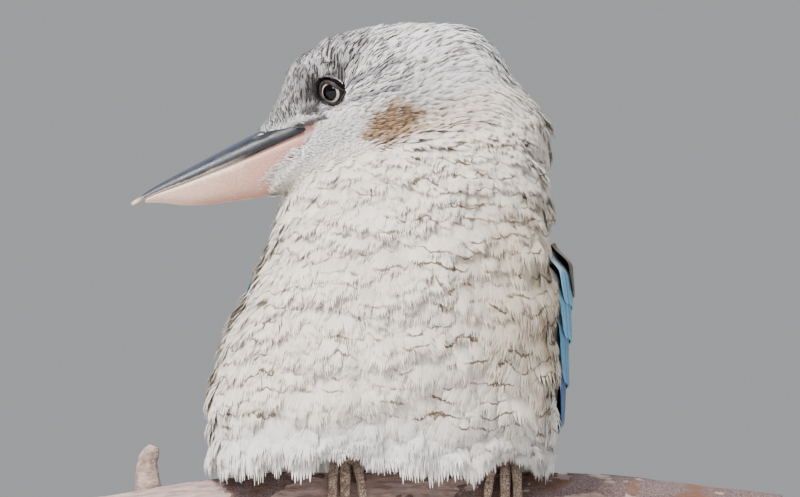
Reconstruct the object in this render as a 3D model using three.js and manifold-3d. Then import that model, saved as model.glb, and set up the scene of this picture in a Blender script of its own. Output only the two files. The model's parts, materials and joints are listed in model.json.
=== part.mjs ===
// A blue-winged kookaburra, life size, sitting upright on a cut length of branch.
// The branch is held over a flat base by two rods, so that the hanging tail clears the base.
// Millimetres. +X is the bird's left as the viewer sees it, -Y is towards the viewer, +Z is up.
// The origin is the middle of the underside of the base.
import * as THREE from "three";
import { mergeVertices } from "three/addons/utils/BufferGeometryUtils.js";
import Module from "manifold-3d";

const wasm = await Module();
wasm.setup();

// ---- driving sizes
const GAP = 0.35; // between pieces that touch
const PERCH_TOP = 122; // height of the top of the branch under the feet
const PERCH_R = 20; // branch radius
const PERCH_HALF = 164; // half the branch's length
const BODY_TURN = THREE.MathUtils.degToRad(20); // the body's front turns this far towards -X
const HEAD_TURN = THREE.MathUtils.degToRad(79); // and the bill this far
const HEAD_PITCH = THREE.MathUtils.degToRad(22.6); // the bill points down by this
const BILL_LENGTH = 92; // gape to tip
const TAIL_LENGTH = 124;
const TAIL_SLOPE = THREE.MathUtils.degToRad(67); // below the horizontal
const VANE = 0.75; // thickness of a feather's vane
const EYE_R = 7.8;

const { sin, cos, PI, min, max, abs, sqrt, sign, pow, hypot } = Math;
const V = (x, y, z) => new THREE.Vector3(x, y, z);
const lerp = THREE.MathUtils.lerp;
const smooth = (t, a, b) => THREE.MathUtils.smoothstep(t, a, b);

// A seeded draw from 0 to 1.
function drawer(seed) {
  let state = seed >>> 0;
  return () => {
    state = (state * 1664525 + 1013904223) >>> 0;
    return state / 4294967296;
  };
}

// A smooth curve through [t, value] stations, read at any t.
function through(stations) {
  const n = stations.length;
  const slope = stations.map((s, i) => {
    const [a, b] = [stations[max(0, i - 1)], stations[min(n - 1, i + 1)]];
    return (b[1] - a[1]) / (b[0] - a[0]);
  });
  return (t) => {
    const x = min(max(t, stations[0][0]), stations[n - 1][0]);
    let i = 0;
    while (i < n - 2 && x > stations[i + 1][0]) i++;
    const [t0, v0] = stations[i];
    const [t1, v1] = stations[i + 1];
    const h = t1 - t0;
    const s = (x - t0) / h;
    const s2 = s * s;
    const s3 = s2 * s;
    return (
      (2 * s3 - 3 * s2 + 1) * v0 +
      (s3 - 2 * s2 + s) * h * slope[i] +
      (3 * s2 - 2 * s3) * v1 +
      (s3 - s2) * h * slope[i + 1]
    );
  };
}

// ---- solids

function solid(geometry) {
  const bare = geometry.index ? geometry.toNonIndexed() : geometry.clone();
  for (const name of Object.keys(bare.attributes)) {
    if (name !== "position") bare.deleteAttribute(name);
  }
  const merged = mergeVertices(bare, 1e-4);
  const made = new wasm.Manifold(
    new wasm.Mesh({
      numProp: 3,
      vertProperties: merged.attributes.position.array,
      triVerts: new Uint32Array(merged.index.array),
    }),
  );
  if (made.volume() < 0) throw new Error("a solid is inside out");
  return made;
}

const join = (solids) => solids.reduce((a, b) => a.add(b));

function largest(made) {
  return made.decompose().reduce((a, b) => (b.volume() > a.volume() ? b : a));
}

function geometryOf(made) {
  const m = made.getMesh();
  const n = m.numProp;
  const places = new Float32Array(m.numVert * 3);
  for (let i = 0; i < m.numVert; i++) {
    places.set(m.vertProperties.subarray(i * n, i * n + 3), i * 3);
  }
  const g = new THREE.BufferGeometry();
  g.setAttribute("position", new THREE.BufferAttribute(places, 3));
  g.setIndex(new THREE.BufferAttribute(new Uint32Array(m.triVerts), 1));
  g.computeVertexNormals();
  return g;
}

// A closed skin over rings of points, each ring going the same way round, with a fan at each end.
function loft(rings) {
  const count = rings[0].length;
  const places = [];
  const faces = [];
  rings.forEach((ring) => ring.forEach((p) => places.push(p.x, p.y, p.z)));
  for (let i = 0; i + 1 < rings.length; i++) {
    for (let j = 0; j < count; j++) {
      const a = i * count + j;
      const b = i * count + ((j + 1) % count);
      faces.push(a, b, b + count, a, b + count, a + count);
    }
  }
  [0, rings.length - 1].forEach((i) => {
    const middle = V(0, 0, 0);
    rings[i].forEach((p) => middle.addScaledVector(p, 1 / count));
    const hub = places.length / 3;
    places.push(middle.x, middle.y, middle.z);
    for (let j = 0; j < count; j++) {
      const a = i * count + j;
      const b = i * count + ((j + 1) % count);
      if (i === 0) faces.push(hub, b, a);
      else faces.push(hub, a, b);
    }
  });
  const g = new THREE.BufferGeometry();
  g.setAttribute("position", new THREE.Float32BufferAttribute(places, 3));
  g.setIndex(faces);
  const made = solidOrFlipped(g);
  return made;
}

function solidOrFlipped(g) {
  try {
    return solid(g);
  } catch (error) {
    if (!String(error).includes("inside out")) throw error;
    const turned = Array.from(g.index.array);
    for (let i = 0; i < turned.length; i += 3) {
      [turned[i + 1], turned[i + 2]] = [turned[i + 2], turned[i + 1]];
    }
    g.setIndex(turned);
    return solid(g);
  }
}

// A round tube of changing radius along points, such as a toe, a claw or a branch.
function tube(points, radii, sides, wobble = () => 1) {
  const curve = new THREE.CatmullRomCurve3(points, false, "centripetal");
  const steps = radii.length - 1;
  const frames = curve.computeFrenetFrames(steps, false);
  return loft(
    radii.map((r, i) => {
      const p = curve.getPointAt(i / steps);
      return Array.from({ length: sides }, (_, j) => {
        const a = (2 * PI * j) / sides;
        const reach = r * wobble(i / steps, a);
        return p
          .clone()
          .addScaledVector(frames.normals[i], cos(a) * reach)
          .addScaledVector(frames.binormals[i], sin(a) * reach);
      });
    }),
  );
}

// A sheet of even thickness over a grid: at(i, j, lift) gives the place of a grid point at a lift.
// Both faces are split into triangles alike.
function slab(rows, columns, at, low, high) {
  const places = [];
  const faces = [];
  const index = (i, j, top) => (i * columns + j) * 2 + top;
  for (let i = 0; i < rows; i++) {
    for (let j = 0; j < columns; j++) {
      const lift = [low, high].map((f) => (typeof f === "function" ? f(i, j) : f));
      lift.forEach((l) => places.push(...at(i, j, l).toArray()));
    }
  }
  const quad = (a, b, c, d) => faces.push(a, b, c, a, c, d);
  for (let i = 0; i + 1 < rows; i++) {
    for (let j = 0; j + 1 < columns; j++) {
      const corners = [
        [i, j],
        [i + 1, j],
        [i + 1, j + 1],
        [i, j + 1],
      ];
      const [a, b, c, d] = corners.map(([p, q]) => index(p, q, 1));
      quad(a, b, c, d);
      const [e, f, g, h] = corners.map(([p, q]) => index(p, q, 0));
      faces.push(e, g, f, e, h, g);
    }
  }
  for (let i = 0; i + 1 < rows; i++) {
    const last = columns - 1;
    quad(index(i, 0, 0), index(i + 1, 0, 0), index(i + 1, 0, 1), index(i, 0, 1));
    quad(index(i + 1, last, 0), index(i, last, 0), index(i, last, 1), index(i + 1, last, 1));
  }
  for (let j = 0; j + 1 < columns; j++) {
    const last = rows - 1;
    quad(index(0, j + 1, 0), index(0, j, 0), index(0, j, 1), index(0, j + 1, 1));
    quad(index(last, j, 0), index(last, j + 1, 0), index(last, j + 1, 1), index(last, j, 1));
  }
  const g = new THREE.BufferGeometry();
  g.setAttribute("position", new THREE.Float32BufferAttribute(places, 3));
  g.setIndex(faces);
  return solidOrFlipped(g);
}

// The width of a feather along its length: quill, full vane, rounded or pointed tip.
const roundTip = through([[0, 0.35], [0.25, 0.85], [0.6, 1], [0.85, 0.86], [0.96, 0.5], [1, 0.16]]);
const longTip = through([[0, 0.4], [0.3, 0.9], [0.6, 1], [0.85, 0.72], [1, 0.14]]);
const VANE_STATIONS = [0, 0.5, 0.9, 1];

// One feather's vane. path(s, across) gives a point of the surface that it lies on, at a lift.
function vane(path, halfWidth, profile, low, tilt, pad = 0) {
  const place = (i, j, lift) => {
    const s = VANE_STATIONS[i];
    const across = (2 * j - 1) * (halfWidth * profile(s) + pad);
    return path(s, across, lift + tilt * across);
  };
  return slab(VANE_STATIONS.length, 2, place, low - pad, low + VANE + pad);
}

// ---- the trunk: torso and neck as one form, from its widths at a few heights over the branch
const LEFT_EDGE = through([
  [3, -78], [11, -91], [28, -94], [50, -90], [70, -81], [90, -72], [110, -65], [128, -60], [144, -51], [156, -35],
]);
const RIGHT_EDGE = through([
  [3, 50], [11, 60], [28, 62.5], [50, 62.5], [70, 62], [90, 60.5], [110, 59], [128, 57], [144, 52], [156, 38],
]);
const FRONT = through([
  [3, -42], [11, -55], [28, -64], [50, -68], [70, -68], [90, -65], [110, -60], [128, -54], [144, -45], [156, -29],
]);
const BACK = through([
  [3, 42], [11, 54], [28, 60], [50, 59], [70, 55], [90, 50], [110, 45], [128, 41], [144, 35], [156, 22],
]);
const TRUNK_LOW = 3;
const TRUNK_HIGH = 156;
const NECK_CUT = 112; // height of the cut between the torso and the neck
const BACK_ANGLE = PI / 2 - BODY_TURN; // where the spine is, round the trunk

// A point of the trunk at an angle round it and a height over the branch, lifted outwards.
function onTrunk(angle, z, lift = 0) {
  const [l, r, f, b] = [LEFT_EDGE(z), RIGHT_EDGE(z), FRONT(z), BACK(z)];
  const [c, s] = [cos(angle), sin(angle)];
  const squareness = 0.9;
  const x = (l + r) / 2 + ((r - l) / 2) * sign(c) * pow(abs(c), squareness) + c * lift;
  const y = (f + b) / 2 + ((b - f) / 2) * sign(s) * pow(abs(s), squareness) + s * lift;
  return V(x, y, PERCH_TOP + z);
}

const TRUNK_RINGS = 18;
const TRUNK_SIDES = 32;
function trunkForm() {
  const rings = [];
  for (let i = 0; i <= TRUNK_RINGS; i++) {
    // closer rings where the ends turn in
    const t = i / TRUNK_RINGS;
    const z = lerp(TRUNK_LOW, TRUNK_HIGH, t - 0.045 * sin(4 * PI * t) * 0.6 - 0.06 * sin(2 * PI * t) * 0.2);
    rings.push(
      Array.from({ length: TRUNK_SIDES }, (_, j) => onTrunk((2 * PI * j) / TRUNK_SIDES, z)),
    );
  }
  return loft(rings);
}

// ---- the head, in its own axes: a forward along the bill, b to the bird's left, c up; zero at the gape
const HEAD_AT = V(-46.8, -12, PERCH_TOP + 156.8);
const headForward = V(
  -cos(HEAD_PITCH) * sin(HEAD_TURN),
  -cos(HEAD_PITCH) * cos(HEAD_TURN),
  -sin(HEAD_PITCH),
);
const headUp = V(
  -sin(HEAD_PITCH) * sin(HEAD_TURN),
  -sin(HEAD_PITCH) * cos(HEAD_TURN),
  cos(HEAD_PITCH),
);
const headLeft = new THREE.Vector3().crossVectors(headUp, headForward);
const headMatrix = new THREE.Matrix4()
  .makeBasis(headForward, headLeft, headUp)
  .setPosition(HEAD_AT);
const inHead = (a, b, c) => V(a, b, c).applyMatrix4(headMatrix);

// Ellipsoids [centre, radii] that are blended into the head.
const EYE_OPENING = V(-7, 20.3, 11.2); // middle of the lids' opening
const EYE_AXIS = V(0.62, 0.78, 0.05).normalize(); // the eyes look sideways and forwards
const OPENING_R = 5.4;
const EYE_DEPTH = sqrt(EYE_R ** 2 - OPENING_R ** 2);
const EYE_PLACE = EYE_OPENING.clone().addScaledVector(EYE_AXIS, -EYE_DEPTH);
const ORBIT = { out: 6.4, radius: 8.2 }; // the hollow round each eye
const HEAD_FORMS = [
  [V(-34, 0, 4), V(49, 28.5, 27.5)], // cranium
  [V(-4, 0, 9.5), V(24.5, 16, 18.5)], // forehead and lores
  [V(13, 0, -11.5), V(21.5, 16, 12.5)], // chin
  [V(-20, 11, -6), V(30, 19, 22)], // cheeks
  [V(-20, -11, -6), V(30, 19, 22)],
  [V(-62, 0, -9), V(33, 30, 31)], // back of the head
  [V(-6, 14.5, 18), V(14, 6.5, 4.5)], // brows
  [V(-6, -14.5, 18), V(14, 6.5, 4.5)],
];
const HEAD_BLEND = 7;
const HEAD_CENTRE = V(-28, 0, 2);

function ellipsoidDistance(p, [centre, radii]) {
  const q = p.clone().sub(centre);
  const k = hypot(q.x / radii.x, q.y / radii.y, q.z / radii.z);
  const k2 = hypot(q.x / radii.x ** 2, q.y / radii.y ** 2, q.z / radii.z ** 2);
  return k2 < 1e-9 ? -min(radii.x, radii.y, radii.z) : (k * (k - 1)) / k2;
}

function blended(distances, width) {
  return distances.reduce((a, b) => {
    const h = max(width - abs(a - b), 0) / width;
    return min(a, b) - (h * h * width) / 4;
  });
}

const ORBITS = [1, -1].map((side) => {
  const middle = EYE_OPENING.clone().addScaledVector(EYE_AXIS, ORBIT.out);
  return V(middle.x, side * middle.y, middle.z);
});

function headDistance(p) {
  const full = blended(HEAD_FORMS.map((form) => ellipsoidDistance(p, form)), HEAD_BLEND);
  const hollow = ORBITS.map((centre) => ORBIT.radius - p.distanceTo(centre));
  return -blended([-full, ...hollow.map((d) => -d)], 2.5);
}

// Where a ray from the head's centre leaves the head.
function headRay(direction, pad = 0) {
  let [inner, outer] = [0, 120];
  for (let i = 0; i < 30; i++) {
    const middle = (inner + outer) / 2;
    const p = HEAD_CENTRE.clone().addScaledVector(direction, middle);
    if (headDistance(p) < pad) inner = middle;
    else outer = middle;
  }
  return HEAD_CENTRE.clone().addScaledVector(direction, inner);
}

function headForm(pad, detail) {
  const g = new THREE.IcosahedronGeometry(1, detail);
  const places = g.attributes.position;
  for (let i = 0; i < places.count; i++) {
    const p = headRay(V(places.getX(i), places.getY(i), places.getZ(i)).normalize(), pad);
    p.applyMatrix4(headMatrix);
    places.setXYZ(i, p.x, p.y, p.z);
  }
  return solid(g);
}

// ---- the shaggy feathers of the crown and nape, in rows across the head
const CROWN_ROWS = [
  { back: -28, count: 4, spread: 0.7, long: 19 },
  { back: -45, count: 5, spread: 1.0, long: 21 },
  { back: -62, count: 6, spread: 1.15, long: 23 },
  { back: -77, count: 5, spread: 1.2, long: 22 },
];
const CROWN_HALF_WIDTH = 4.6;
const CROWN_LIFT = 2.6; // of the tips over the crown

function crownFeathers(pad) {
  const draw = drawer(7);
  const made = [];
  for (const row of CROWN_ROWS) {
    for (let i = 0; i < row.count; i++) {
      const roll = lerp(-row.spread, row.spread, i / (row.count - 1)) + (draw() - 0.5) * 0.12;
      const start = row.back + (draw() - 0.5) * 5;
      const long = row.long * (0.9 + 0.25 * draw()) + pad;
      // the direction from the head's centre slides backwards along the feather
      const path = (s, across, lift) => {
        const a = start - s * long;
        const aim = V(a - HEAD_CENTRE.x, 34 * sin(roll + across / 34), 34 * cos(roll + across / 34));
        const skin = headRay(aim.clone().normalize());
        const rise = lerp(-2.2, CROWN_LIFT, pow(s, 0.8)) + lift;
        return skin.addScaledVector(aim.normalize(), rise).applyMatrix4(headMatrix);
      };
      made.push(vane(path, CROWN_HALF_WIDTH, longTip, 0, 0, pad));
    }
  }
  return made;
}

// ---- the bill, in the head's axes
const BILL_ROOT = -6;
const billHalfWidth = through([[-6, 14.5], [0, 15.6], [10, 14.6], [23, 11.8], [50, 8], [75, 4.4], [88, 1.9], [92, 0.7]]);
const billTop = through([[-6, 5.5], [0, 6.2], [23, 7.2], [37, 6.2], [60, 3.9], [80, 1.6], [92, -0.9]]);
const billLine = through([[-6, 0.4], [0, 0], [23, -0.8], [46, -1.6], [70, -1.6], [82, -1.4], [92, -2.4]]);
const billBottom = through([[-6, -11], [0, -15], [15, -19], [33, -20.4], [47, -17.8], [67, -12], [80, -5.4], [86, -3]]);
const BILL_STATIONS = 15;
const BILL_ARC = 8;
const LOWER_SHARE = 0.94; // the lower mandible reaches this far along the upper

function billHalf(upper, pad) {
  const end = upper ? BILL_LENGTH : BILL_LENGTH * LOWER_SHARE - 0.6;
  const rings = [];
  for (let i = 0; i < BILL_STATIONS; i++) {
    const a = lerp(BILL_ROOT - pad, end + pad * 2, i / (BILL_STATIONS - 1));
    const line = billLine(a) + (upper ? GAP / 2 - pad : -GAP / 2 + pad);
    const w = billHalfWidth(a) * (upper ? 1 : 0.93) + pad;
    const tall = upper ? billTop(a) - billLine(a) + pad * 2 : billLine(a) - billBottom(a) + pad * 2;
    const ring = [];
    for (let j = 0; j <= BILL_ARC; j++) {
      const t = (PI * j) / BILL_ARC;
      // the upper is a rounded ridge and the lower a deep keel
      const rise = upper ? pow(sin(t), 0.8) : pow(sin(t), 0.72);
      const out = sign(cos(t)) * pow(abs(cos(t)), upper ? 0.95 : 0.9);
      ring.push(inHead(a, w * out, line + (upper ? 1 : -1) * max(tall, 0.5) * rise));
    }
    rings.push(ring);
  }
  return loft(rings);
}

const NOSTRIL = V(27, 6.9, 5.2);
function nostril(side) {
  const g = new THREE.SphereGeometry(1, 10, 8);
  g.scale(3.4, 1.3, 1.1);
  g.rotateY(-0.1);
  g.rotateZ(-side * 0.12);
  g.translate(NOSTRIL.x, side * NOSTRIL.y, NOSTRIL.z);
  g.applyMatrix4(headMatrix);
  return solid(g);
}

// ---- eyes and lids
function eyeBall(side, pad) {
  const g = new THREE.SphereGeometry(EYE_R + pad, 18, 12);
  g.rotateX(PI / 2);
  g.rotateZ(-0.65 * side);
  g.translate(EYE_PLACE.x, side * EYE_PLACE.y, EYE_PLACE.z);
  g.applyMatrix4(headMatrix);
  return solid(g);
}

const LID = { long: 5.6, up: 4.7, down: 5.3, thick: 1.15, slant: 0.3 };
const LID_COUNT = 18;
const LID_SIDES = 6;
function lids(side) {
  const axis = V(EYE_AXIS.x, side * EYE_AXIS.y, EYE_AXIS.z);
  const up = V(0, 0, 1).addScaledVector(axis, -axis.z).normalize();
  const ahead = new THREE.Vector3().crossVectors(up, axis).multiplyScalar(side);
  const centre = V(EYE_PLACE.x, side * EYE_PLACE.y, EYE_PLACE.z);
  const rings = Array.from({ length: LID_COUNT }, (_, i) => {
    const t = (2 * PI * i) / LID_COUNT;
    // drawn out a little at the front and back corners, with the front one lower
    const reach = 1 + 0.12 * pow(abs(cos(t)), 6);
    const a = LID.long * cos(t) * reach;
    const c = (sin(t) > 0 ? LID.up : LID.down) * sin(t) - LID.slant * a;
    const rise = sqrt(max(EYE_R ** 2 - a * a - c * c, 4));
    const out = ahead.clone().multiplyScalar(a).addScaledVector(up, c).normalize();
    const middle = centre
      .clone()
      .addScaledVector(ahead, a)
      .addScaledVector(up, c)
      .addScaledVector(axis, rise + 0.15)
      .addScaledVector(out, LID.thick * 0.7);
    return Array.from({ length: LID_SIDES }, (_, j) => {
      const u = (2 * PI * j) / LID_SIDES;
      return middle
        .clone()
        .addScaledVector(out, cos(u) * LID.thick)
        .addScaledVector(axis, sin(u) * LID.thick)
        .applyMatrix4(headMatrix);
    });
  });
  // closed on itself, so the rings join end to start with no fans
  const places = [];
  const faces = [];
  rings.forEach((ring) => ring.forEach((p) => places.push(p.x, p.y, p.z)));
  rings.forEach((ring, i) => {
    ring.forEach((_, j) => {
      const a = i * LID_SIDES + j;
      const k = (j + 1) % LID_SIDES;
      const next = ((i + 1) % LID_COUNT) * LID_SIDES;
      faces.push(a, i * LID_SIDES + k, next + k, a, next + k, next + j);
    });
  });
  const g = new THREE.BufferGeometry();
  g.setAttribute("position", new THREE.Float32BufferAttribute(places, 3));
  g.setIndex(faces);
  return solidOrFlipped(g);
}

// ---- folded wings, laid on the trunk. turn is the angle from the spine, 90 degrees at the flank
const WING_END = { z: -52, x: 12, y: 70, wide: 25, deep: 19 }; // the loft that the tips run down to
const WING_BED = 3.2; // the torso is hollowed this deep under the wing
const deg = THREE.MathUtils.degToRad;

function onWing(side, turn, z, lift) {
  const angle = BACK_ANGLE - side * deg(turn);
  const turnBase = 22; // below this height the surface narrows towards the tail
  if (z >= turnBase) return onTrunk(angle, z, lift);
  const t = (turnBase - z) / (turnBase - WING_END.z);
  const base = onTrunk(angle, turnBase, lift);
  const end = V(
    WING_END.x + (WING_END.wide + lift) * cos(angle),
    WING_END.y + (WING_END.deep + lift) * sin(angle),
    PERCH_TOP + WING_END.z,
  );
  const eased = t * (2 - t) * 0.55 + t * 0.45;
  return V(lerp(base.x, end.x, eased), lerp(base.y, end.y, eased), lerp(base.z, end.z, t));
}

// A tier of feathers: its roots and tips run from the flank to the spine along the wing.
const WING_TIERS = [
  // primaries lie lowest and reach furthest
  { count: 5, root: [[62, 62], [36, 68]], tip: [[42, -8], [22, -40]], half: 8.6, lift: 0.3, profile: longTip },
  { count: 6, root: [[86, 66], [28, 70]], tip: [[76, 18], [18, 2]], half: 9.6, lift: 2.3, profile: roundTip },
  { count: 6, root: [[88, 80], [26, 84]], tip: [[82, 40], [20, 32]], half: 9.8, lift: 4.3, profile: roundTip },
  { count: 6, root: [[90, 92], [24, 96]], tip: [[85, 62], [20, 56]], half: 9.6, lift: 6.3, profile: roundTip },
  // scapulars, over the top of the rest
  { count: 5, root: [[80, 106], [20, 112]], tip: [[74, 82], [16, 74]], half: 10.5, lift: 8.0, profile: roundTip },
];
const WING_TILT = 0.11; // each vane leans over the next by this slope

function wingVane(side, tier, k) {
  const [r0, r1] = tier.root;
  const [t0, t1] = tier.tip;
  const [rootTurn, rootZ] = [lerp(r0[0], r1[0], k), lerp(r0[1], r1[1], k)];
  const [tipTurn, tipZ] = [lerp(t0[0], t1[0], k), lerp(t0[1], t1[1], k)];
  const path = (s, across, lift) => {
    const z = lerp(rootZ, tipZ, s);
    const turn = lerp(rootTurn, tipTurn, s);
    const here = onWing(side, turn, z, lift);
    const round = onWing(side, turn + 4, z, lift).sub(here);
    const perDegree = 4 / round.length();
    return onWing(side, turn + across * perDegree, z, lift);
  };
  return vane(path, tier.half, tier.profile, tier.lift, WING_TILT, 0);
}

const PAD_ROWS = 6;
const PAD_COLUMNS = 7;
function wingPad(side) {
  const at = (i, j, lift) => {
    const u = i / (PAD_ROWS - 1);
    const v = j / (PAD_COLUMNS - 1);
    const bow = sin(PI * v);
    const z = lerp(104 + 2 * v + 5 * bow, 60 - 2 * v, u);
    const turn = lerp(88 - 5 * u, 20 + 5 * u, v);
    return onWing(side, turn, z, lift);
  };
  const top = (i, j) => {
    const u = i / (PAD_ROWS - 1);
    const v = j / (PAD_COLUMNS - 1);
    const edge = sqrt(max(1 - pow(2 * v - 1, 4), 0.01));
    return -1.7 + 9.6 * edge * pow(sin(PI * (0.03 + 0.5 * u)), 0.7);
  };
  return slab(PAD_ROWS, PAD_COLUMNS, at, -WING_BED + 2 * GAP, top);
}

function wingForm(side) {
  const pieces = [wingPad(side)];
  for (const tier of WING_TIERS) {
    for (let i = 0; i < tier.count; i++) pieces.push(wingVane(side, tier, i / (tier.count - 1)));
  }
  return join(pieces);
}

// What the torso loses under a wing.
function wingBed(side) {
  const [rows, columns] = [10, 9];
  const at = (i, j, lift) => {
    const z = lerp(NECK_CUT, -14, i / (rows - 1));
    const turn = lerp(96, 9, j / (columns - 1));
    return onWing(side, turn, z, lift);
  };
  return slab(rows, columns, at, -WING_BED, 14);
}

// ---- the tail: twelve long vanes fanned from a root block, with coverts over and under it
const backWay = V(sin(BODY_TURN), cos(BODY_TURN), 0);
const leftWay = V(cos(BODY_TURN), -sin(BODY_TURN), 0);
const tailWay = V(
  backWay.x * cos(TAIL_SLOPE),
  backWay.y * cos(TAIL_SLOPE),
  -sin(TAIL_SLOPE),
);
const tailUp = new THREE.Vector3().crossVectors(tailWay, leftWay).normalize();
if (tailUp.dot(backWay) < 0) tailUp.negate();
const TAIL_ROOT = onTrunk(BACK_ANGLE, 20, -7);
const TAIL_PAIRS = 6;
const TAIL_HALF_WIDTH = 10.5;

function onTail(along, across, lift) {
  // the tail bends a little down along its length and is bowed across
  const droop = -0.0006 * along * along;
  const bow = -0.006 * across * across;
  return TAIL_ROOT.clone()
    .addScaledVector(tailWay, along)
    .addScaledVector(leftWay, across)
    .addScaledVector(tailUp, lift + droop + bow);
}

function tailVane({ start, long, root, spread, half, lift, tilt, profile }) {
  const path = (s, across, rise) => {
    const along = start + s * long;
    return onTail(along, root + spread * s + across, rise);
  };
  return vane(path, half, profile, lift, tilt, 0);
}

function tailForm() {
  const pieces = [];
  const step = VANE + 0.4;
  for (let i = 0; i < TAIL_PAIRS; i++) {
    for (const side of [-1, 1]) {
      const rank = 2 * i + (side > 0 ? 0 : 1); // the middle pair lies on top
      pieces.push(
        tailVane({
          start: 2,
          long: TAIL_LENGTH - 1.6 * i,
          root: side * (1 + 1.5 * i),
          spread: side * (2 + 2.3 * i),
          half: TAIL_HALF_WIDTH,
          lift: -rank * step,
          tilt: 0,
          profile: roundTip,
        }),
      );
    }
  }
  const coverts = [
    { count: 5, lift: 1.6, long: 46 },
    { count: 5, lift: -2 * TAIL_PAIRS * step - 1.6, long: 52 },
  ];
  for (const { count, lift, long } of coverts) {
    for (let i = 0; i < count; i++) {
      const k = lerp(-1, 1, i / (count - 1));
      pieces.push(
        tailVane({
          start: 4,
          long: long - 9 * k * k,
          root: 9 * k,
          spread: 3 * k,
          half: 5.4,
          lift: lift - (lift > 0 ? 1 : -1) * 0.0,
          tilt: lift > 0 ? 0.16 : -0.16,
          profile: roundTip,
        }),
      );
    }
  }
  const rings = [0, 8, 18, 26].map((along, i) => {
    const [wide, high, low] = [[15, 6, 17], [16, 6, 17.5], [14, 3.2, 15.5], [10, 0.5, 12]][i];
    return Array.from({ length: 14 }, (_, j) => {
      const t = (2 * PI * j) / 14;
      return onTail(along, wide * cos(t), lerp(-low, high, 0.5 + 0.5 * sin(t)));
    });
  });
  pieces.push(loft(rings));
  return join(pieces);
}

// ---- legs, feet and claws
const FEET = [
  { name: "right", x: -34, toes: -1 },
  { name: "left", x: 38.5, toes: 1 },
];
const TOE_R = 2.5;
const TOES = [
  // across is where the toe starts, splay how far it drifts as it goes round the branch
  { name: "inner", across: -4.6, splay: -5, long: 22, thick: 0.88 },
  { name: "middle", across: 0, splay: -0.4, long: 31, thick: 1 },
  { name: "outer", across: 4.7, splay: 2.0, long: 27, thick: 0.95 },
  { name: "hind", across: -1, splay: -2, long: -18, thick: 1 },
];

// A point over the branch: how far round it from the top, towards the viewer, and its height off it.
function roundPerch(x, arc, off) {
  const around = arc / PERCH_R;
  const reach = PERCH_R + off;
  return V(x, -reach * sin(around), PERCH_TOP - PERCH_R + perchRise(x) + reach * cos(around));
}

function toePoint(foot, toe, s, off = 0) {
  const x = foot.x + foot.toes * (toe.across * (1 - 0.25 * abs(s)) + toe.splay * s);
  return roundPerch(x, (toe.long > 0 ? 2 : -4) + toe.long * s, TOE_R * toe.thick + GAP + off);
}

const TOE_STEPS = 6;
function toeForm(foot, toe) {
  const points = Array.from({ length: 7 }, (_, i) => toePoint(foot, toe, i / 6, 0.7 * sin((PI * i) / 6)));
  points.unshift(V(foot.x, 1.5, PERCH_TOP + 4.6));
  const radii = Array.from({ length: TOE_STEPS + 1 }, (_, i) => {
    const s = i / TOE_STEPS;
    const knuckles = 1 + 0.1 * pow(sin(s * PI * 3), 2);
    return TOE_R * toe.thick * lerp(1, 0.74, s) * knuckles;
  });
  return tube(points, radii, 8);
}

function footForm(foot) {
  const g = new THREE.SphereGeometry(1, 12, 8);
  g.scale(7, 6.5, 3.6);
  g.translate(foot.x, 0.5, PERCH_TOP + 4.4);
  return join([...TOES.map((toe) => toeForm(foot, toe)), solid(g)]);
}

function clawForm(foot, toe) {
  const along = toe.long > 0 ? 1 : -1;
  const end = toePoint(foot, toe, 1);
  const before = toePoint(foot, toe, 0.9);
  const way = end.clone().sub(before).normalize();
  const start = end.clone().addScaledVector(way, GAP + 0.35);
  const arcs = [0, 3.5, 7, 10].map((arc, i) => {
    const p = roundPerch(start.x, (toe.long > 0 ? 2 : -4) + toe.long + along * (arc + 1.1), 0);
    const over = roundPerch(start.x, (toe.long > 0 ? 2 : -4) + toe.long + along * (arc + 1.1), [2, 2.6, 2, 0.7][i]);
    return i === 0 ? start : over.add(V(0, 0, 0)).lerp(p, 0.0);
  });
  return tube(arcs, [1.75, 1.6, 1.3, 0.85, 0.3], 7);
}

const ANKLE = { back: 15, up: 19, r: 4.4 };
function legForm(foot, pad) {
  const points = [
    V(foot.x * 0.97, ANKLE.back, PERCH_TOP + ANKLE.up),
    V(foot.x * 0.985, ANKLE.back * 0.6, PERCH_TOP + 13.5),
    V(foot.x, 3.2, PERCH_TOP + 8.6),
  ];
  const radii = [ANKLE.r, 3.9, 3.5, 3.5].map((r) => r + pad);
  return tube(points, radii, 10);
}

// ---- the branch and its stand
const KNOTS = [
  { x: -118, angle: 1.9, size: 5, wide: 9 },
  { x: 96, angle: 0.9, size: 2.4, wide: 14 },
  { x: -66, angle: 3.6, size: 3, wide: 12 },
  { x: 142, angle: 4.4, size: 3.2, wide: 12 },
];

// The branch is bowed: its ends hang below its middle.
function perchRise(x) {
  const t = abs(x) / PERCH_HALF;
  return -9.5 * smooth(t, 0.38, 1.15) * 1.2 - (x > 0 ? 0.8 : 0) * smooth(t, 0.3, 0.8);
}

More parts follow.
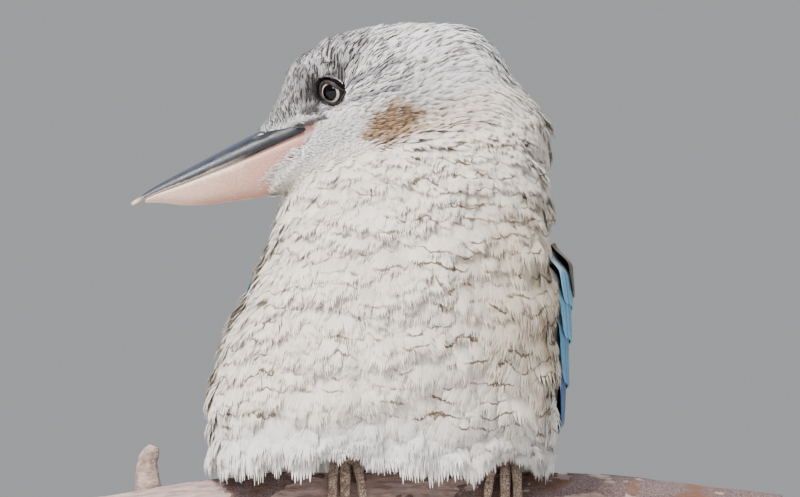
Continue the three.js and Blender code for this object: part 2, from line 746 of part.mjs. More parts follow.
function perchForm() {
  const [rings, sides] = [26, 16];
  const made = [];
  for (let i = 0; i <= rings; i++) {
    const x = lerp(-PERCH_HALF, PERCH_HALF, i / rings);
    const taper = lerp(0.93, 1, smooth(x, -PERCH_HALF, -60)) * lerp(1, 1.05, smooth(x, 60, PERCH_HALF));
    made.push(
      Array.from({ length: sides }, (_, j) => {
        const t = (2 * PI * j) / sides;
        let r = PERCH_R * taper;
        // bark ridges, kept off the top where the feet grip
        const under = 0.5 - 0.5 * cos(t);
        const away = smooth(abs(x), 58, 90);
        const free = max(under, away);
        r -= free * (0.5 + 0.5 * sin(3 * t + 0.031 * x) * cos(0.045 * x + t));
        for (const knot of KNOTS) {
          const d = hypot(x - knot.x, PERCH_R * sin((t - knot.angle) / 2) * 2) / knot.wide;
          r += knot.size * Math.exp(-d * d) * max(free, 0.2);
        }
        return V(x, r * sin(t), PERCH_TOP - PERCH_R + perchRise(x) + r * cos(t));
      }),
    );
  }
  const stub = tube(
    [V(-122, 6, PERCH_TOP - 18), V(-124, 8, PERCH_TOP + 4), V(-121, 9, PERCH_TOP + 12)],
    [7, 6, 4.6, 4.2, 3.6],
    8,
  );
  return join([loft(made), stub]);
}

const BASE = { long: 118, wide: 80, thick: 13, bevel: 2.5 };
const ROD = { x: 62, r: 4.5, into: 9 };

function baseForm() {
  const outline = new THREE.Shape();
  outline.absellipse(0, 0, BASE.long - BASE.bevel, BASE.wide - BASE.bevel, 0, 2 * PI);
  const g = new THREE.ExtrudeGeometry(outline, {
    depth: BASE.thick - BASE.bevel,
    curveSegments: 22,
    bevelThickness: BASE.bevel,
    bevelSize: BASE.bevel,
    bevelSegments: 2,
  });
  const made = solid(g);
  // the underside is flat: the lower bevel is cut away
  const below = new THREE.BoxGeometry(400, 400, 40).translate(0, 0, -20);
  return largest(made.subtract(solid(below)));
}

function rodForm(x, pad) {
  const top = PERCH_TOP - 2 * PERCH_R + perchRise(x) + ROD.into;
  const tall = top - BASE.thick + 5 - (pad ? 0 : 2 * GAP) + pad * 2;
  const g = new THREE.CylinderGeometry(ROD.r + pad, ROD.r + pad, tall, 20);
  g.rotateX(PI / 2);
  g.translate(x, 0, BASE.thick - 5 + (pad ? 0 : GAP) + tall / 2 - pad);
  return solid(g);
}

// ---- materials
const material = (color, roughness = 0.85, metalness = 0) =>
  new THREE.MeshStandardMaterial({ color, roughness, metalness });
const FINISH = {
  head: material(0xd9d5d2),
  plumage: material(0xdcd4c8),
  bill_dark: material(0x30353f, 0.35),
  bill_pale: material(0xc9a493, 0.4),
  eye: material(0x15110f, 0.1),
  wing: material(0x4f7fa8),
  tail: material(0x2c4a78),
  leg: material(0xb09c8c, 0.6),
  claw: material(0x1c1a1a, 0.35),
  bark: material(0x7a5c4a, 0.95),
  stand: material(0x8d8d8a, 0.5),
};

// ---- assembly
const group = new THREE.Group();
function add(name, made, finish) {
  const mesh = new THREE.Mesh(geometryOf(largest(made)), FINISH[finish]);
  mesh.name = name;
  group.add(mesh);
}

const sides = [
  ["left", 1],
  ["right", -1],
];
const headCutter = headForm(0.9, 6);
const billCutter = join([billHalf(true, GAP), billHalf(false, GAP)]);
const head = join([headForm(0, 8), ...crownFeathers(0), lids(1), lids(-1)])
  .subtract(billCutter)
  .subtract(eyeBall(1, GAP))
  .subtract(eyeBall(-1, GAP));
add("head", head, "head");
add("bill_upper", billHalf(true, 0).subtract(nostril(1)).subtract(nostril(-1)), "bill_dark");
add("bill_lower", billHalf(false, 0), "bill_pale");
for (const [name, side] of sides) add("eye_" + name, eyeBall(side, 0), "eye");

const nape = new THREE.SphereGeometry(1, 26, 18).scale(36, 34, 38);
nape.translate(-63, 0, -33).applyMatrix4(headMatrix);
let trunk = join([trunkForm(), solid(nape)])
  .subtract(join([headCutter, ...crownFeathers(GAP)]))
  .subtract(billCutter);
for (const [, side] of sides) trunk = trunk.subtract(wingBed(side));
const slot = solid(new THREE.BoxGeometry(300, 300, GAP).translate(0, 0, PERCH_TOP + NECK_CUT));
const upper = solid(new THREE.BoxGeometry(300, 300, 100).translate(0, 0, PERCH_TOP + NECK_CUT + 50));
const lower = solid(new THREE.BoxGeometry(300, 300, 200).translate(0, 0, PERCH_TOP + NECK_CUT - 100));
for (const foot of FEET) {
  // the belly feathers part in an arch over each foot
  const arch = new THREE.CylinderGeometry(11.5, 11.5, 130, 16).scale(1, 1, 0.95);
  arch.translate(foot.x, 0, PERCH_TOP - 1);
  trunk = trunk.subtract(solid(arch)).subtract(legForm(foot, GAP));
}
trunk = trunk.subtract(slot);
add("neck", trunk.intersect(upper), "plumage");

const tailBlock = tailForm();
const rumpCut = new THREE.Matrix4()
  .makeBasis(leftWay, tailWay, tailUp)
  .setPosition(onTail(0, 0, -6));
const rump = solid(new THREE.BoxGeometry(60, 60, 60).translate(0, -30, 0).applyMatrix4(rumpCut));
const socket = solid(new THREE.BoxGeometry(38, 60, 28).translate(0, 30 - GAP, 0).applyMatrix4(rumpCut));
add("torso", trunk.intersect(lower).subtract(socket), "plumage");
add("tail", tailBlock.subtract(rump), "tail");
for (const [name, side] of sides) add("wing_" + name, wingForm(side), "wing");

for (const foot of FEET) {
  const feet = footForm(foot).subtract(legForm(foot, GAP));
  add("leg_" + foot.name, legForm(foot, 0), "leg");
  add("foot_" + foot.name, feet, "leg");
  for (const toe of TOES) add("claw_" + foot.name + "_" + toe.name, clawForm(foot, toe), "claw");
}

let perch = perchForm();
for (const x of [-ROD.x, ROD.x]) perch = perch.subtract(rodForm(x, GAP));
add("perch_branch", perch, "bark");
let base = baseForm();
for (const x of [-ROD.x, ROD.x]) base = base.subtract(rodForm(x, GAP));
add("stand_base", base, "stand");
add("stand_rod_right", rodForm(-ROD.x, 0), "stand");
add("stand_rod_left", rodForm(ROD.x, 0), "stand");

export default group;
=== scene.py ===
"""A life-size blue-winged kookaburra on a cut length of branch, held over a plain oval base.

Lengths in the classes are in millimetres and go to metres when a mesh is made. +X is to the right of
the main view, -Y is towards the viewer and +Z is up, with zero at the middle of the base's underside.
"""

import json
import logging
import math
from collections.abc import Callable, Sequence
from dataclasses import dataclass, field
from enum import Enum

import bmesh
import bpy
import numpy as np
from mathutils import Matrix, Vector
from mathutils.bvhtree import BVHTree

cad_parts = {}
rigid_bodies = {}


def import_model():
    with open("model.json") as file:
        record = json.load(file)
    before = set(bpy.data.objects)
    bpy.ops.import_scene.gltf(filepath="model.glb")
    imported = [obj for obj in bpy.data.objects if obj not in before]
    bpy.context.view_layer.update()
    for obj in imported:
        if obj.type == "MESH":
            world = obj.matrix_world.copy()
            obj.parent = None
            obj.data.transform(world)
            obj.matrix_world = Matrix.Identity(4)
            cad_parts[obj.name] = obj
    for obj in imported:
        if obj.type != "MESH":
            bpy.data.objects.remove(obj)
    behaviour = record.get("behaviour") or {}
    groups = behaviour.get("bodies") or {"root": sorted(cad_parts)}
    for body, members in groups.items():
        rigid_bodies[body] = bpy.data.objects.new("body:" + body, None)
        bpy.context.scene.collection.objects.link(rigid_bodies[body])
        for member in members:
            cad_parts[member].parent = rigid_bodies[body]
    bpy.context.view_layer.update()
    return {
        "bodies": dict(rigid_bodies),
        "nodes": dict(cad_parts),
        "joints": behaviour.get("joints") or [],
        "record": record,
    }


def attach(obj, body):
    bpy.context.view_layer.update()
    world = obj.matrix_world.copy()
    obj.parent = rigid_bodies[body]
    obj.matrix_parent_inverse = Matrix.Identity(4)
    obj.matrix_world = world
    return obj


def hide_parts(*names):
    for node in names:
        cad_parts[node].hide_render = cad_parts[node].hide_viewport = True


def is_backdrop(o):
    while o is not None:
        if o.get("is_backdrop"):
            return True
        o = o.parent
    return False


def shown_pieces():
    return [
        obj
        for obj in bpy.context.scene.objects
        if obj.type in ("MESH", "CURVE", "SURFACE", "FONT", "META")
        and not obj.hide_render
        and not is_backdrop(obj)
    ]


LOG = logging.getLogger("kookaburra")
MM = 0.001
PERCH_TOP = 122.0
PERCH_R = 20.0
PERCH_HALF = 164.0
BODY_TURN = math.radians(20)
BILL_LENGTH = 92.0
TURN = 6.283  # a full turn, in the sines of the finishes
Array = np.ndarray


# Numbers and shapes


def ramp(value: Array, low: float, high: float) -> Array:
    """0 below low, 1 above high and smooth between them; low may be the larger of the two."""
    t = np.clip((np.asarray(value, float) - low) / (high - low), 0, 1)
    return t * t * (3 - 2 * t)


def through(stations: Sequence[tuple[float, float]]) -> Callable[[Array], Array]:
    """A smooth curve through stations.

    Args:
        stations: pairs of a place along the curve and the value there, in rising order.

    Returns:
        A function that reads the curve at any place, held level past its ends.
    """
    t, v = np.array(stations, float).T
    n = len(t)
    before, after = np.maximum(np.arange(n) - 1, 0), np.minimum(np.arange(n) + 1, n - 1)
    slope = (v[after] - v[before]) / (t[after] - t[before])

    def read(place: Array) -> Array:
        """The curve's value at a place."""
        x = np.clip(place, t[0], t[-1])
        i = np.clip(np.searchsorted(t, x, side="right") - 1, 0, n - 2)
        h = t[i + 1] - t[i]
        s = (x - t[i]) / h
        s2, s3 = s * s, s * s * s
        return (
            (2 * s3 - 3 * s2 + 1) * v[i]
            + (s3 - 2 * s2 + s) * h * slope[i]
            + (3 * s2 - 2 * s3) * v[i + 1]
            + (s3 - s2) * h * slope[i + 1]
        )

    return read


def unit(vectors: Array) -> Array:
    """Vectors along the last axis, made one long."""
    return vectors / np.maximum(np.linalg.norm(vectors, axis=-1, keepdims=True), 1e-9)


def linear(code: str) -> Array:
    """A screen colour such as 'c0a080' as linear red, green and blue."""
    c = np.array([int(code[i : i + 2], 16) for i in (0, 2, 4)]) / 255
    return np.where(c <= 0.04045, c / 12.92, ((c + 0.055) / 1.055) ** 2.4)


def wave_noise(points: Array, size: float, seed: int) -> Array:
    """Smooth noise from -1 to 1 out of a few crossing waves, size being a typical blotch's width.

    Args:
        points: places.
        size: a typical blotch's width.
        seed: for the waves.

    Returns:
        A number for each place.
    """
    rng = np.random.default_rng(seed)
    total = np.zeros(points.shape[:-1])
    for _ in range(7):
        way = unit(rng.normal(size=3)) * rng.uniform(0.7, 1.8)
        total += np.sin(points @ way * math.pi / size + rng.uniform(0, 6.28))
    return np.clip(total / 3.2, -1, 1)


def together(*values: Array) -> Array:
    """Values spread to one shape and put side by side along a last axis."""
    return np.stack(np.broadcast_arrays(*values), -1)


def over_perch(p: Array) -> Array:
    """Heights of places over the branch."""
    return p[:, 2] - PERCH_TOP


class HeadFrame:
    """The head's own axes: forward along the bill, to the bird's left, and up; zero at the gape."""

    origin = np.array([-46.8, -12.0, PERCH_TOP + 156.8])
    turn, pitch = math.radians(79), math.radians(22.6)
    forward = np.array(
        [-math.cos(pitch) * math.sin(turn), -math.cos(pitch) * math.cos(turn), -math.sin(pitch)]
    )
    up = np.array(
        [-math.sin(pitch) * math.sin(turn), -math.sin(pitch) * math.cos(turn), math.cos(pitch)]
    )
    left = np.cross(up, forward)
    eye = (-8.0, 11.2)

    @classmethod
    def to_world(cls, points: Array) -> Array:
        """Points of the head's axes as places."""
        return cls.origin + points @ np.array([cls.forward, cls.left, cls.up])

    @classmethod
    def from_world(cls, points: Array) -> Array:
        """Places as points of the head's axes."""
        return (points - cls.origin) @ np.array([cls.forward, cls.left, cls.up]).T

    @classmethod
    def from_eye(cls, h: Array) -> tuple[Array, Array]:
        """How far points of the head's axes lie ahead of the eyes and above them."""
        return h[:, 0] - cls.eye[0], h[:, 2] - cls.eye[1]

    @staticmethod
    def forehead_share(h: Array) -> Array:
        """1 on the forehead, where the feathers rise, and 0 on the cheeks and nape."""
        return ramp(h[:, 2] + 0.2 * h[:, 0], 5, 11) * ramp(h[:, 0], -34, -4)


class BillEdge:
    """Where the face's feathers end along the bill, as heights over the bill's own axis."""

    low = staticmethod(through([(-4, 4.4), (1.7, 1.6), (12.3, -6), (31.9, -13.8), (38, -17)]))
    high = staticmethod(through([(-4, 1), (1.7, 1.9), (26, 5.2), (40, 7)]))


class Trunk:
    """The torso's and neck's outline from its four sides, read by height over the branch."""

    left = staticmethod(
        through([(3, -78), (11, -91), (28, -94), (50, -90), (70, -81), (90, -72), (110, -65),
                 (128, -60), (144, -51), (156, -38), (168, -10)])
    )
    right = staticmethod(
        through([(3, 50), (11, 60), (28, 62.5), (50, 62.5), (70, 62), (90, 60.5), (110, 59),
                 (128, 58), (144, 57), (156, 52), (168, 42)])
    )
    front = staticmethod(
        through([(3, -42), (11, -55), (28, -64), (50, -68), (70, -68), (90, -65), (110, -60),
                 (128, -54), (144, -45), (156, -34), (168, -18)])
    )
    back = staticmethod(
        through([(3, 42), (11, 54), (28, 60), (50, 59), (70, 55), (90, 51), (110, 48),
                 (128, 45), (144, 42), (156, 36), (168, 26)])
    )
    spine = math.pi / 2 - BODY_TURN
    back_way = np.array([math.sin(BODY_TURN), math.cos(BODY_TURN), 0])
    left_way = np.array([math.cos(BODY_TURN), -math.sin(BODY_TURN), 0])
    middle = (-16.0, 0.0, 0.0)
    axis = (-14.0, -4.0)
    wing_turn_base = 22.0
    wing_end = {"z": -52.0, "x": 12.0, "y": 70.0, "wide": 25.0, "deep": 19.0}

    @classmethod
    def place(cls, angle: Array, z: Array, lift: Array) -> Array:
        """The place at an angle round the trunk and a height, lifted off it.

        Args:
            angle: angle round the trunk, 0 towards +X.
            z: height over the branch.
            lift: how far off the trunk.

        Returns:
            The place, in millimetres.
        """
        l, r, f, b = cls.left(z), cls.right(z), cls.front(z), cls.back(z)
        c, s = np.cos(angle), np.sin(angle)
        x = (l + r) / 2 + (r - l) / 2 * np.sign(c) * np.abs(c) ** 0.9 + c * lift
        y = (f + b) / 2 + (b - f) / 2 * np.sign(s) * np.abs(s) ** 0.9 + s * lift
        return together(x, y, PERCH_TOP + z)

    @classmethod
    def across(cls, p: Array) -> Array:
        """How far places lie to the bird's left of the trunk's middle."""
        return (p - cls.middle) @ cls.left_way

    @classmethod
    def angle(cls, p: Array) -> Array:
        """Angles of places round the trunk's axis, 0 towards +X."""
        return np.arctan2(p[:, 1] - cls.axis[1], p[:, 0] - cls.axis[0])

    @classmethod
    def wing_place(cls, side: int, turn: Array, z: Array, lift: Array) -> Array:
        """The place on a folded wing's bed.

        Args:
            side: 1 for the left wing, -1 for the right one.
            turn: angle from the spine, in degrees.
            z: height over the branch; below wing_turn_base the bed narrows to the wing's end.
            lift: how far off the bed.

        Returns:
            The place, in millimetres.
        """
        angle = cls.spine - side * np.radians(turn)
        high = cls.place(angle, np.maximum(z, cls.wing_turn_base), lift)
        t = np.clip((cls.wing_turn_base - z) / (cls.wing_turn_base - cls.wing_end["z"]), 0, None)
        e = cls.wing_end
        end = together(
            e["x"] + (e["wide"] + lift) * np.cos(angle),
            e["y"] + (e["deep"] + lift) * np.sin(angle),
            PERCH_TOP + e["z"],
        )
        eased = (t * (2 - t) * 0.55 + t * 0.45)[..., None] * np.array([1, 1, 0])
        eased = eased + t[..., None] * np.array([0, 0, 1])
        return high + (end - high) * eased


# Meshes


def link(name: str, data: bpy.types.ID) -> bpy.types.Object:
    """Makes an object of some data and links it to the scene."""
    thing = bpy.data.objects.new(name, data)
    bpy.context.scene.collection.objects.link(thing)
    return thing


def from_bmesh(name: str, work: bmesh.types.BMesh) -> bpy.types.Object:
    """Makes an object out of a bmesh, and frees the bmesh."""
    mesh = bpy.data.meshes.new(name)
    work.to_mesh(mesh)
    work.free()
    return link(name, mesh)


def mesh_object(name: str, places: Array, faces: Array, smooth: bool = True) -> bpy.types.Object:
    """Makes an object out of arrays.

    Args:
        name: the piece's name.
        places: vertex places in millimetres, n by 3.
        faces: vertex numbers, m by 3 or m by 4.
        smooth: whether the faces are shaded smooth.

    Returns:
        The object, linked to the scene.
    """
    mesh = bpy.data.meshes.new(name)
    mesh.vertices.add(len(places))
    mesh.vertices.foreach_set("co", (places * MM).astype(np.float32).ravel())
    mesh.loops.add(faces.size)
    mesh.loops.foreach_set("vertex_index", faces.astype(np.int32).ravel())
    mesh.polygons.add(len(faces))
    starts = np.arange(0, faces.size, faces.shape[1], dtype=np.int32)
    mesh.polygons.foreach_set("loop_start", starts)
    mesh.update(calc_edges=True)
    mesh.polygons.foreach_set("use_smooth", np.full(len(faces), smooth))
    mesh.validate()
    return link(name, mesh)


def add_uv(thing: bpy.types.Object, name: str, per_vertex: Array) -> None:
    """Adds a UV map that is given per vertex.

    Args:
        thing: the piece.
        name: the map's name.
        per_vertex: a pair of numbers for each vertex.
    """
    layer = thing.data.uv_layers.new(name=name)
    loops = np.empty(len(thing.data.loops), np.int32)
    thing.data.loops.foreach_get("vertex_index", loops)
    layer.data.foreach_set("uv", per_vertex[loops].astype(np.float32).ravel())


def add_colour(thing: bpy.types.Object, name: str, per_vertex: Array) -> None:
    """Adds a colour attribute, linear red, green and blue per vertex."""
    layer = thing.data.attributes.new(name, "FLOAT_COLOR", "POINT")
    full = np.concatenate([per_vertex, np.ones((len(per_vertex), 1))], 1)
    layer.data.foreach_set("color", full.astype(np.float32).ravel())


def add_number(thing: bpy.types.Object, name: str, per_vertex: Array) -> None:
    """Adds a number attribute, one value per vertex."""
    layer = thing.data.attributes.new(name, "FLOAT", "POINT")
    layer.data.foreach_set("value", per_vertex.astype(np.float32).ravel())


def finish_piece(thing: bpy.types.Object, look: "Finish", slot: str, *nodes: str) -> bpy.types.Object:
    """Dresses a piece, lets it ride, and hides the CAD nodes that it replaces.

    Args:
        thing: the piece.
        look: its finish.
        slot: the record's material slot; not used.
        nodes: CAD nodes that it replaces.

    Returns:
        The piece.
    """
    thing.data.materials.clear()
    thing.data.materials.append(look.material)
    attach(thing, "root")
    if nodes:
        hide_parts(*nodes)
    LOG.info("%s: %d faces", thing.name, len(thing.data.polygons))
    return thing


def grid_faces(rows: int, columns: int, closed: bool) -> Array:
    """Quads over a grid of rows by columns, wrapped across if closed.

    Args:
        rows: points along.
        columns: points across.
        closed: whether the last column joins the first.

    Returns:
        Vertex numbers, m by 4.
    """
    i, j = np.meshgrid(np.arange(rows - 1), np.arange(columns - (0 if closed else 1)), indexing="ij")
    a = i * columns + j
    b = i * columns + (j + 1) % columns
    return np.stack([a, b, b + columns, a + columns], -1).reshape(-1, 4)


def outward(thing: bpy.types.Object) -> bpy.types.Object:
    """Turns a closed piece's normals outwards.

    Args:
        thing: the piece.

    Returns:
        The piece.
    """
    work = bmesh.new()
    work.from_mesh(thing.data)
    bmesh.ops.remove_doubles(work, verts=work.verts, dist=1e-6)
    bmesh.ops.recalc_face_normals(work, faces=work.faces)
    work.to_mesh(thing.data)
    work.free()
    return thing


def end_rings(rings: Array) -> list[Array]:
    """The two rings that shut a row of rings, each drawn together into one point."""
    count = rings.shape[1]
    return [np.repeat(rings[i].mean(0)[None], count, 0)[None] for i in (0, -1)]


def swept(name: str, rings: Array) -> bpy.types.Object:
    """A closed skin over rings of points, rows by points by 3.

    Args:
        name: the piece's name.
        rings: rows by points by 3.

    Returns:
        The piece.
    """
    first, last = end_rings(rings)
    full = np.concatenate([first, rings, last])
    faces = grid_faces(len(full), rings.shape[1], True)
    return outward(mesh_object(name, full.reshape(-1, 3), faces))


def tube_rings(path: Array, radii: Array, sides: int, shape: Callable[[Array], Array]) -> Array:
    """Rings round a path.

    Args:
        path: places along the middle.
        radii: the radius at each place.
        sides: points in a ring.
        shape: reach at an angle round the path, where 0 points up.

    Returns:
        Rings, rows by sides by 3.
    """
    way = unit(np.gradient(path, axis=0))
    start = np.array([0, 0, 1.0])
    if abs(way[0] @ start) > 0.9:
        start = np.array([0, -1.0, 0])
    normal = np.empty_like(path)
    held = start
    for i, w in enumerate(way):
        held = unit(held - w * (held @ w))
        normal[i] = held
    across = np.cross(way, normal)
    angle = np.linspace(0, 2 * math.pi, sides, endpoint=False)
    reach = radii[:, None] * shape(angle)[None]
    return (
        path[:, None]
        + normal[:, None] * (np.cos(angle) * reach)[..., None]
        + across[:, None] * (np.sin(angle) * reach)[..., None]
    )


def smooth_path(points: Array, count: int) -> Array:
    """Reads points as a smooth curve.

    Args:
        points: places that the curve goes through.
        count: how many places are wanted.

    Returns:
        Places along the curve at even steps of length.
    """
    gaps = np.linalg.norm(np.diff(points, axis=0), axis=1)
    length = np.concatenate([[0], np.cumsum(gaps)])
    curves = [through(list(zip(length, points[:, k]))) for k in range(3)]
    t = np.linspace(0, length[-1], count)
    return np.stack([c(t) for c in curves], -1)


# Finishes


class Wire:
    """A shader socket that arithmetic can be written with."""

    def __init__(self, finish: "Finish", socket: bpy.types.NodeSocket) -> None:
        """Wraps a socket of a finish's tree."""
        self.finish, self.socket = finish, socket

    def _math(self, kind: str, first: "Wire | float", second: "Wire | float") -> "Wire":
        """A Math node of that kind over two values."""
        return self.finish.node("ShaderNodeMath", {"operation": kind}, {0: first, 1: second})

    def __add__(self, other: "Wire | float") -> "Wire":
        """Sum."""
        return self._math("ADD", self, other)

    def __radd__(self, other: float) -> "Wire":
        """Sum with a number first."""
        return self._math("ADD", other, self)

    def __sub__(self, other: "Wire | float") -> "Wire":
        """Difference."""
        return self._math("SUBTRACT", self, other)

    def __rsub__(self, other: float) -> "Wire":
        """Difference from a number."""
        return self._math("SUBTRACT", other, self)

    def __mul__(self, other: "Wire | float") -> "Wire":
        """Product."""
        return self._math("MULTIPLY", self, other)

    def __rmul__(self, other: float) -> "Wire":
        """Product with a number first."""
        return self._math("MULTIPLY", other, self)

    def sine(self) -> "Wire":
        """Its sine."""
        return self._math("SINE", self, 0.0)

    def size(self) -> "Wire":
        """Its size without sign."""
        return self._math("ABSOLUTE", self, 0.0)

    def most(self, other: "Wire | float") -> "Wire":
        """The larger of the two."""
        return self._math("MAXIMUM", self, other)

    def ramp(self, low: float, high: float, start: float = 0.0, end: float = 1.0) -> "Wire":
        """Goes smoothly from start at low to end at high."""
        settings = {"interpolation_type": "SMOOTHSTEP"}
        return self.finish.node(
            "ShaderNodeMapRange", settings, {0: self, 1: low, 2: high, 3: start, 4: end}
        )


class Finish:
    """A material with one Principled shader, built up from nodes."""

    def __init__(self, name: str, **sockets: float | tuple[float, ...]) -> None:
        """Makes the material and sets constant numbers on the shader's own sockets."""
        self.material = bpy.data.materials.new(name)
        self.material.use_nodes = True
        self.tree = self.material.node_tree
        self.shader = self.tree.nodes["Principled BSDF"]
        for socket, value in sockets.items():
            target = self.shader.inputs[socket.replace("_", " ")]
            target.default_value = (*value, 1.0) if isinstance(value, tuple) else value

    def node(
        self, kind: str, settings: dict[str, object], inputs: dict[int | str, object], out: int = 0
    ) -> Wire:
        """Adds a node.

        Args:
            kind: the node's type.
            settings: its properties.
            inputs: values or wires by socket name or number.
            out: the number of the output that is wanted.

        Returns:
            That output.
        """
        made = self.tree.nodes.new(kind)
        for key, value in settings.items():
            setattr(made, key, value)
        for key, value in inputs.items():
            if isinstance(value, Wire):
                self.tree.links.new(value.socket, made.inputs[key])
            elif isinstance(value, (tuple, np.ndarray)):
                full = tuple(float(v) for v in value)
                wants = len(made.inputs[key].default_value)
                made.inputs[key].default_value = (*full, 1.0)[:wants]
            else:
                made.inputs[key].default_value = value
        return Wire(self, made.outputs[out])

    def mix(self, factor: Wire | float, a: Wire | Array, b: Wire | Array, how: str = "MIX") -> Wire:
        """Colour a, going to b by the factor."""
        settings = {"data_type": "RGBA", "blend_type": how}
        return self.node("ShaderNodeMix", settings, {0: factor, 6: a, 7: b}, 2)

    def joined(self, x: Wire | float, y: Wire | float, z: Wire | float) -> Wire:
        """A vector out of three numbers."""
        return self.node("ShaderNodeCombineXYZ", {}, {0: x, 1: y, 2: z})

    def shaded(self, colour: Wire, shade: Wire) -> Wire:
        """A colour made darker or lighter by a number."""
        return self.mix(1.0, colour, self.joined(shade, shade, shade), "MULTIPLY")

    def parts(self, vector: Wire) -> tuple[Wire, Wire, Wire]:
        """A vector's three numbers."""
        made = self.tree.nodes.new("ShaderNodeSeparateXYZ")
        self.tree.links.new(vector.socket, made.inputs[0])
        return tuple(Wire(self, made.outputs[i]) for i in range(3))

    def place(self) -> Wire:
        """The place in the object's own space, in metres."""
        return self.node("ShaderNodeTexCoord", {}, {}, 3)

    def attribute(self, name: str) -> Wire:
        """A colour attribute of the mesh."""
        return self.node("ShaderNodeAttribute", {"attribute_name": name}, {}, 0)

    def number(self, name: str) -> Wire:
        """A number attribute of the mesh."""
        return self.node("ShaderNodeAttribute", {"attribute_name": name}, {}, 2)

    def map(self, name: str) -> tuple[Wire, Wire, Wire]:
        """A UV map's two numbers, and a third that is zero."""
        return self.parts(self.node("ShaderNodeUVMap", {"uv_map": name}, {}, 0))

    def noise(self, where: Wire | None, scale: float, detail: float = 3.0, rough: float = 0.55) -> Wire:
        """Noise from 0 to 1 at a place, scale being blotches per metre."""
        inputs = {"Scale": scale, "Detail": detail, "Roughness": rough}
        if where is not None:
            inputs["Vector"] = where
        return self.node("ShaderNodeTexNoise", {}, inputs, 0)

    def stretch(self, where: Wire, by: tuple[float, float, float]) -> Wire:
        """A place multiplied along each axis."""
        return self.node("ShaderNodeVectorMath", {"operation": "MULTIPLY"}, {0: where, 1: by}, 0)

    def feed(self, socket: str, value: Wire) -> None:
        """Joins a value to one of the shader's sockets."""
        self.tree.links.new(value.socket, self.shader.inputs[socket])

    def bump(self, height: Wire, distance: float, strength: float = 1.0) -> None:
        """Adds relief, distance being its depth in metres."""
        inputs = {"Height": height, "Distance": distance, "Strength": strength}
        self.feed("Normal", self.node("ShaderNodeBump", {}, inputs, 0))


class FeatherFinish(Finish):
    """Feathers: tint from the mesh, fine barbs, a shaft, and bars or streaks as the mesh says."""

    def __init__(self, name: str, gloss: float = 0.62, barbs: float = 46.0) -> None:
        """Builds the finish; gloss is the roughness, barbs the barbs along a feather."""
        super().__init__(
            name, Roughness=gloss, IOR=1.4, Sheen_Weight=0.25, Sheen_Roughness=0.5,
            Specular_IOR_Level=0.25,
        )
        across, along, _ = self.map("Lie")
        off = (across - 0.5).size()
        barb = ((along * barbs - off * (barbs * 0.45)) * TURN).sine()
        shade = barb.ramp(-1, 1, 0.9, 1.06)
        colour = self.attribute("Tint")
        dark = self.attribute("Dark")
        bars = self.number("Bars")
        where = self.place()
        # wavy broken bars that run on from feather to feather
        _, _, high = self.parts(where)
        drift = self.noise(self.stretch(where, (1.0, 1.0, 0.6)), 42, 2) * 3.4
        ripple = self.noise(where, 190, 2) * 0.9 + self.noise(where, 1100, 1) * 0.14
        phase = high * 128.0 + drift + ripple + bars * 0.3
        broken = self.noise(where, 95, 2).ramp(0.42, 0.56)
        barred = (phase * TURN).sine().ramp(0.8, 0.97) * broken * bars.ramp(0.05, 0.5)
        streak = self.number("Streak")
        edge = self.noise(self.place(), 2500, 2) * 0.1
        shaft = (off + edge - streak * 0.22).ramp(0.12, 0.06) * streak.ramp(0.03, 0.25)
        factor = barred.most(shaft)
        self.feed("Base Color", self.shaded(self.mix(factor, colour, dark), shade))
        self.bump(barb, 0.00012, 0.5)


class BillFinish(Finish):
    """Horn of the bill: two colours along it, a pale tip, fine growth lines and scuffs."""

    def __init__(
        self, name: str, base: Array, far: Array, tip: Array, ridge_highlight_under_shade: Array, rough: float
    ) -> None:
        """Builds the finish out of the colours at the face, further out and at the tip, and a colour of
        painted light along the middle of its arc: a painted highlight on the upper half's ridge, painted
        shade along the lower half's underside.
        """
        super().__init__(name, IOR=1.5, Specular_IOR_Level=0.45)
        along, across, _ = self.map("Lie")
        where = self.place()
        cloud = self.noise(where, 160, 4)
        fine = self.noise(self.stretch(where, (1.0, 1.0, 3.0)), 900, 3)
        colour = self.mix((along + (cloud - 0.5) * 0.35).ramp(0.3, 0.8), base, far)
        colour = self.mix((along + (cloud - 0.5) * 0.05).ramp(0.93, 0.985), colour, tip)
        edge = (across - 0.5).size() + (cloud - 0.5) * 0.06
        # painted light along the middle of the arc: a painted highlight on the upper half's ridge, painted
        # shade under the lower half
        colour = self.mix(edge.ramp(0.3, 0.08) * along.ramp(0.95, 0.6), colour, ridge_highlight_under_shade)
        colour = self.mix(edge.ramp(0.455, 0.495) * along.ramp(0.35, 0.6), colour, tip)
        grain = fine.ramp(0.35, 0.7, 0.82, 1.12)
        self.feed("Base Color", self.shaded(colour, grain))
        self.feed("Roughness", cloud.ramp(0.3, 0.75, rough - 0.08, rough + 0.14))
        self.bump(fine, 0.00018, 0.45)


class EyeFinish(Finish):
    """A pale iris round a black pupil under a wet surface."""

    def __init__(self) -> None:
        """Builds the finish; the Lie map's first number is the distance from the eye's axis."""
        super().__init__(
            "eye", Roughness=0.08, IOR=1.35, Specular_IOR_Level=0.08, Coat_Weight=0.4,
            Coat_Roughness=0.02, Coat_IOR=1.45,
        )
        out, round_, _ = self.map("Lie")
        rays = self.noise(self.joined(round_ * 40.0, out * 5.0, 0.0), 1.6, 3)
        iris = self.mix(rays.ramp(0.35, 0.7), linear("9a8d8b"), linear("c9bfbb"))
        iris = self.mix(out.ramp(0.76, 0.69) * 0.6, iris, linear("6f6563"))
        iris = self.mix(out.ramp(0.86, 0.94), iris, linear("3a3230"))
        colour = self.mix(out.ramp(0.7, 0.675), iris, linear("030303"))
        colour = self.mix(out.ramp(0.93, 0.99), colour, linear("0c0a0a"))
        self.feed("Base Color", colour)


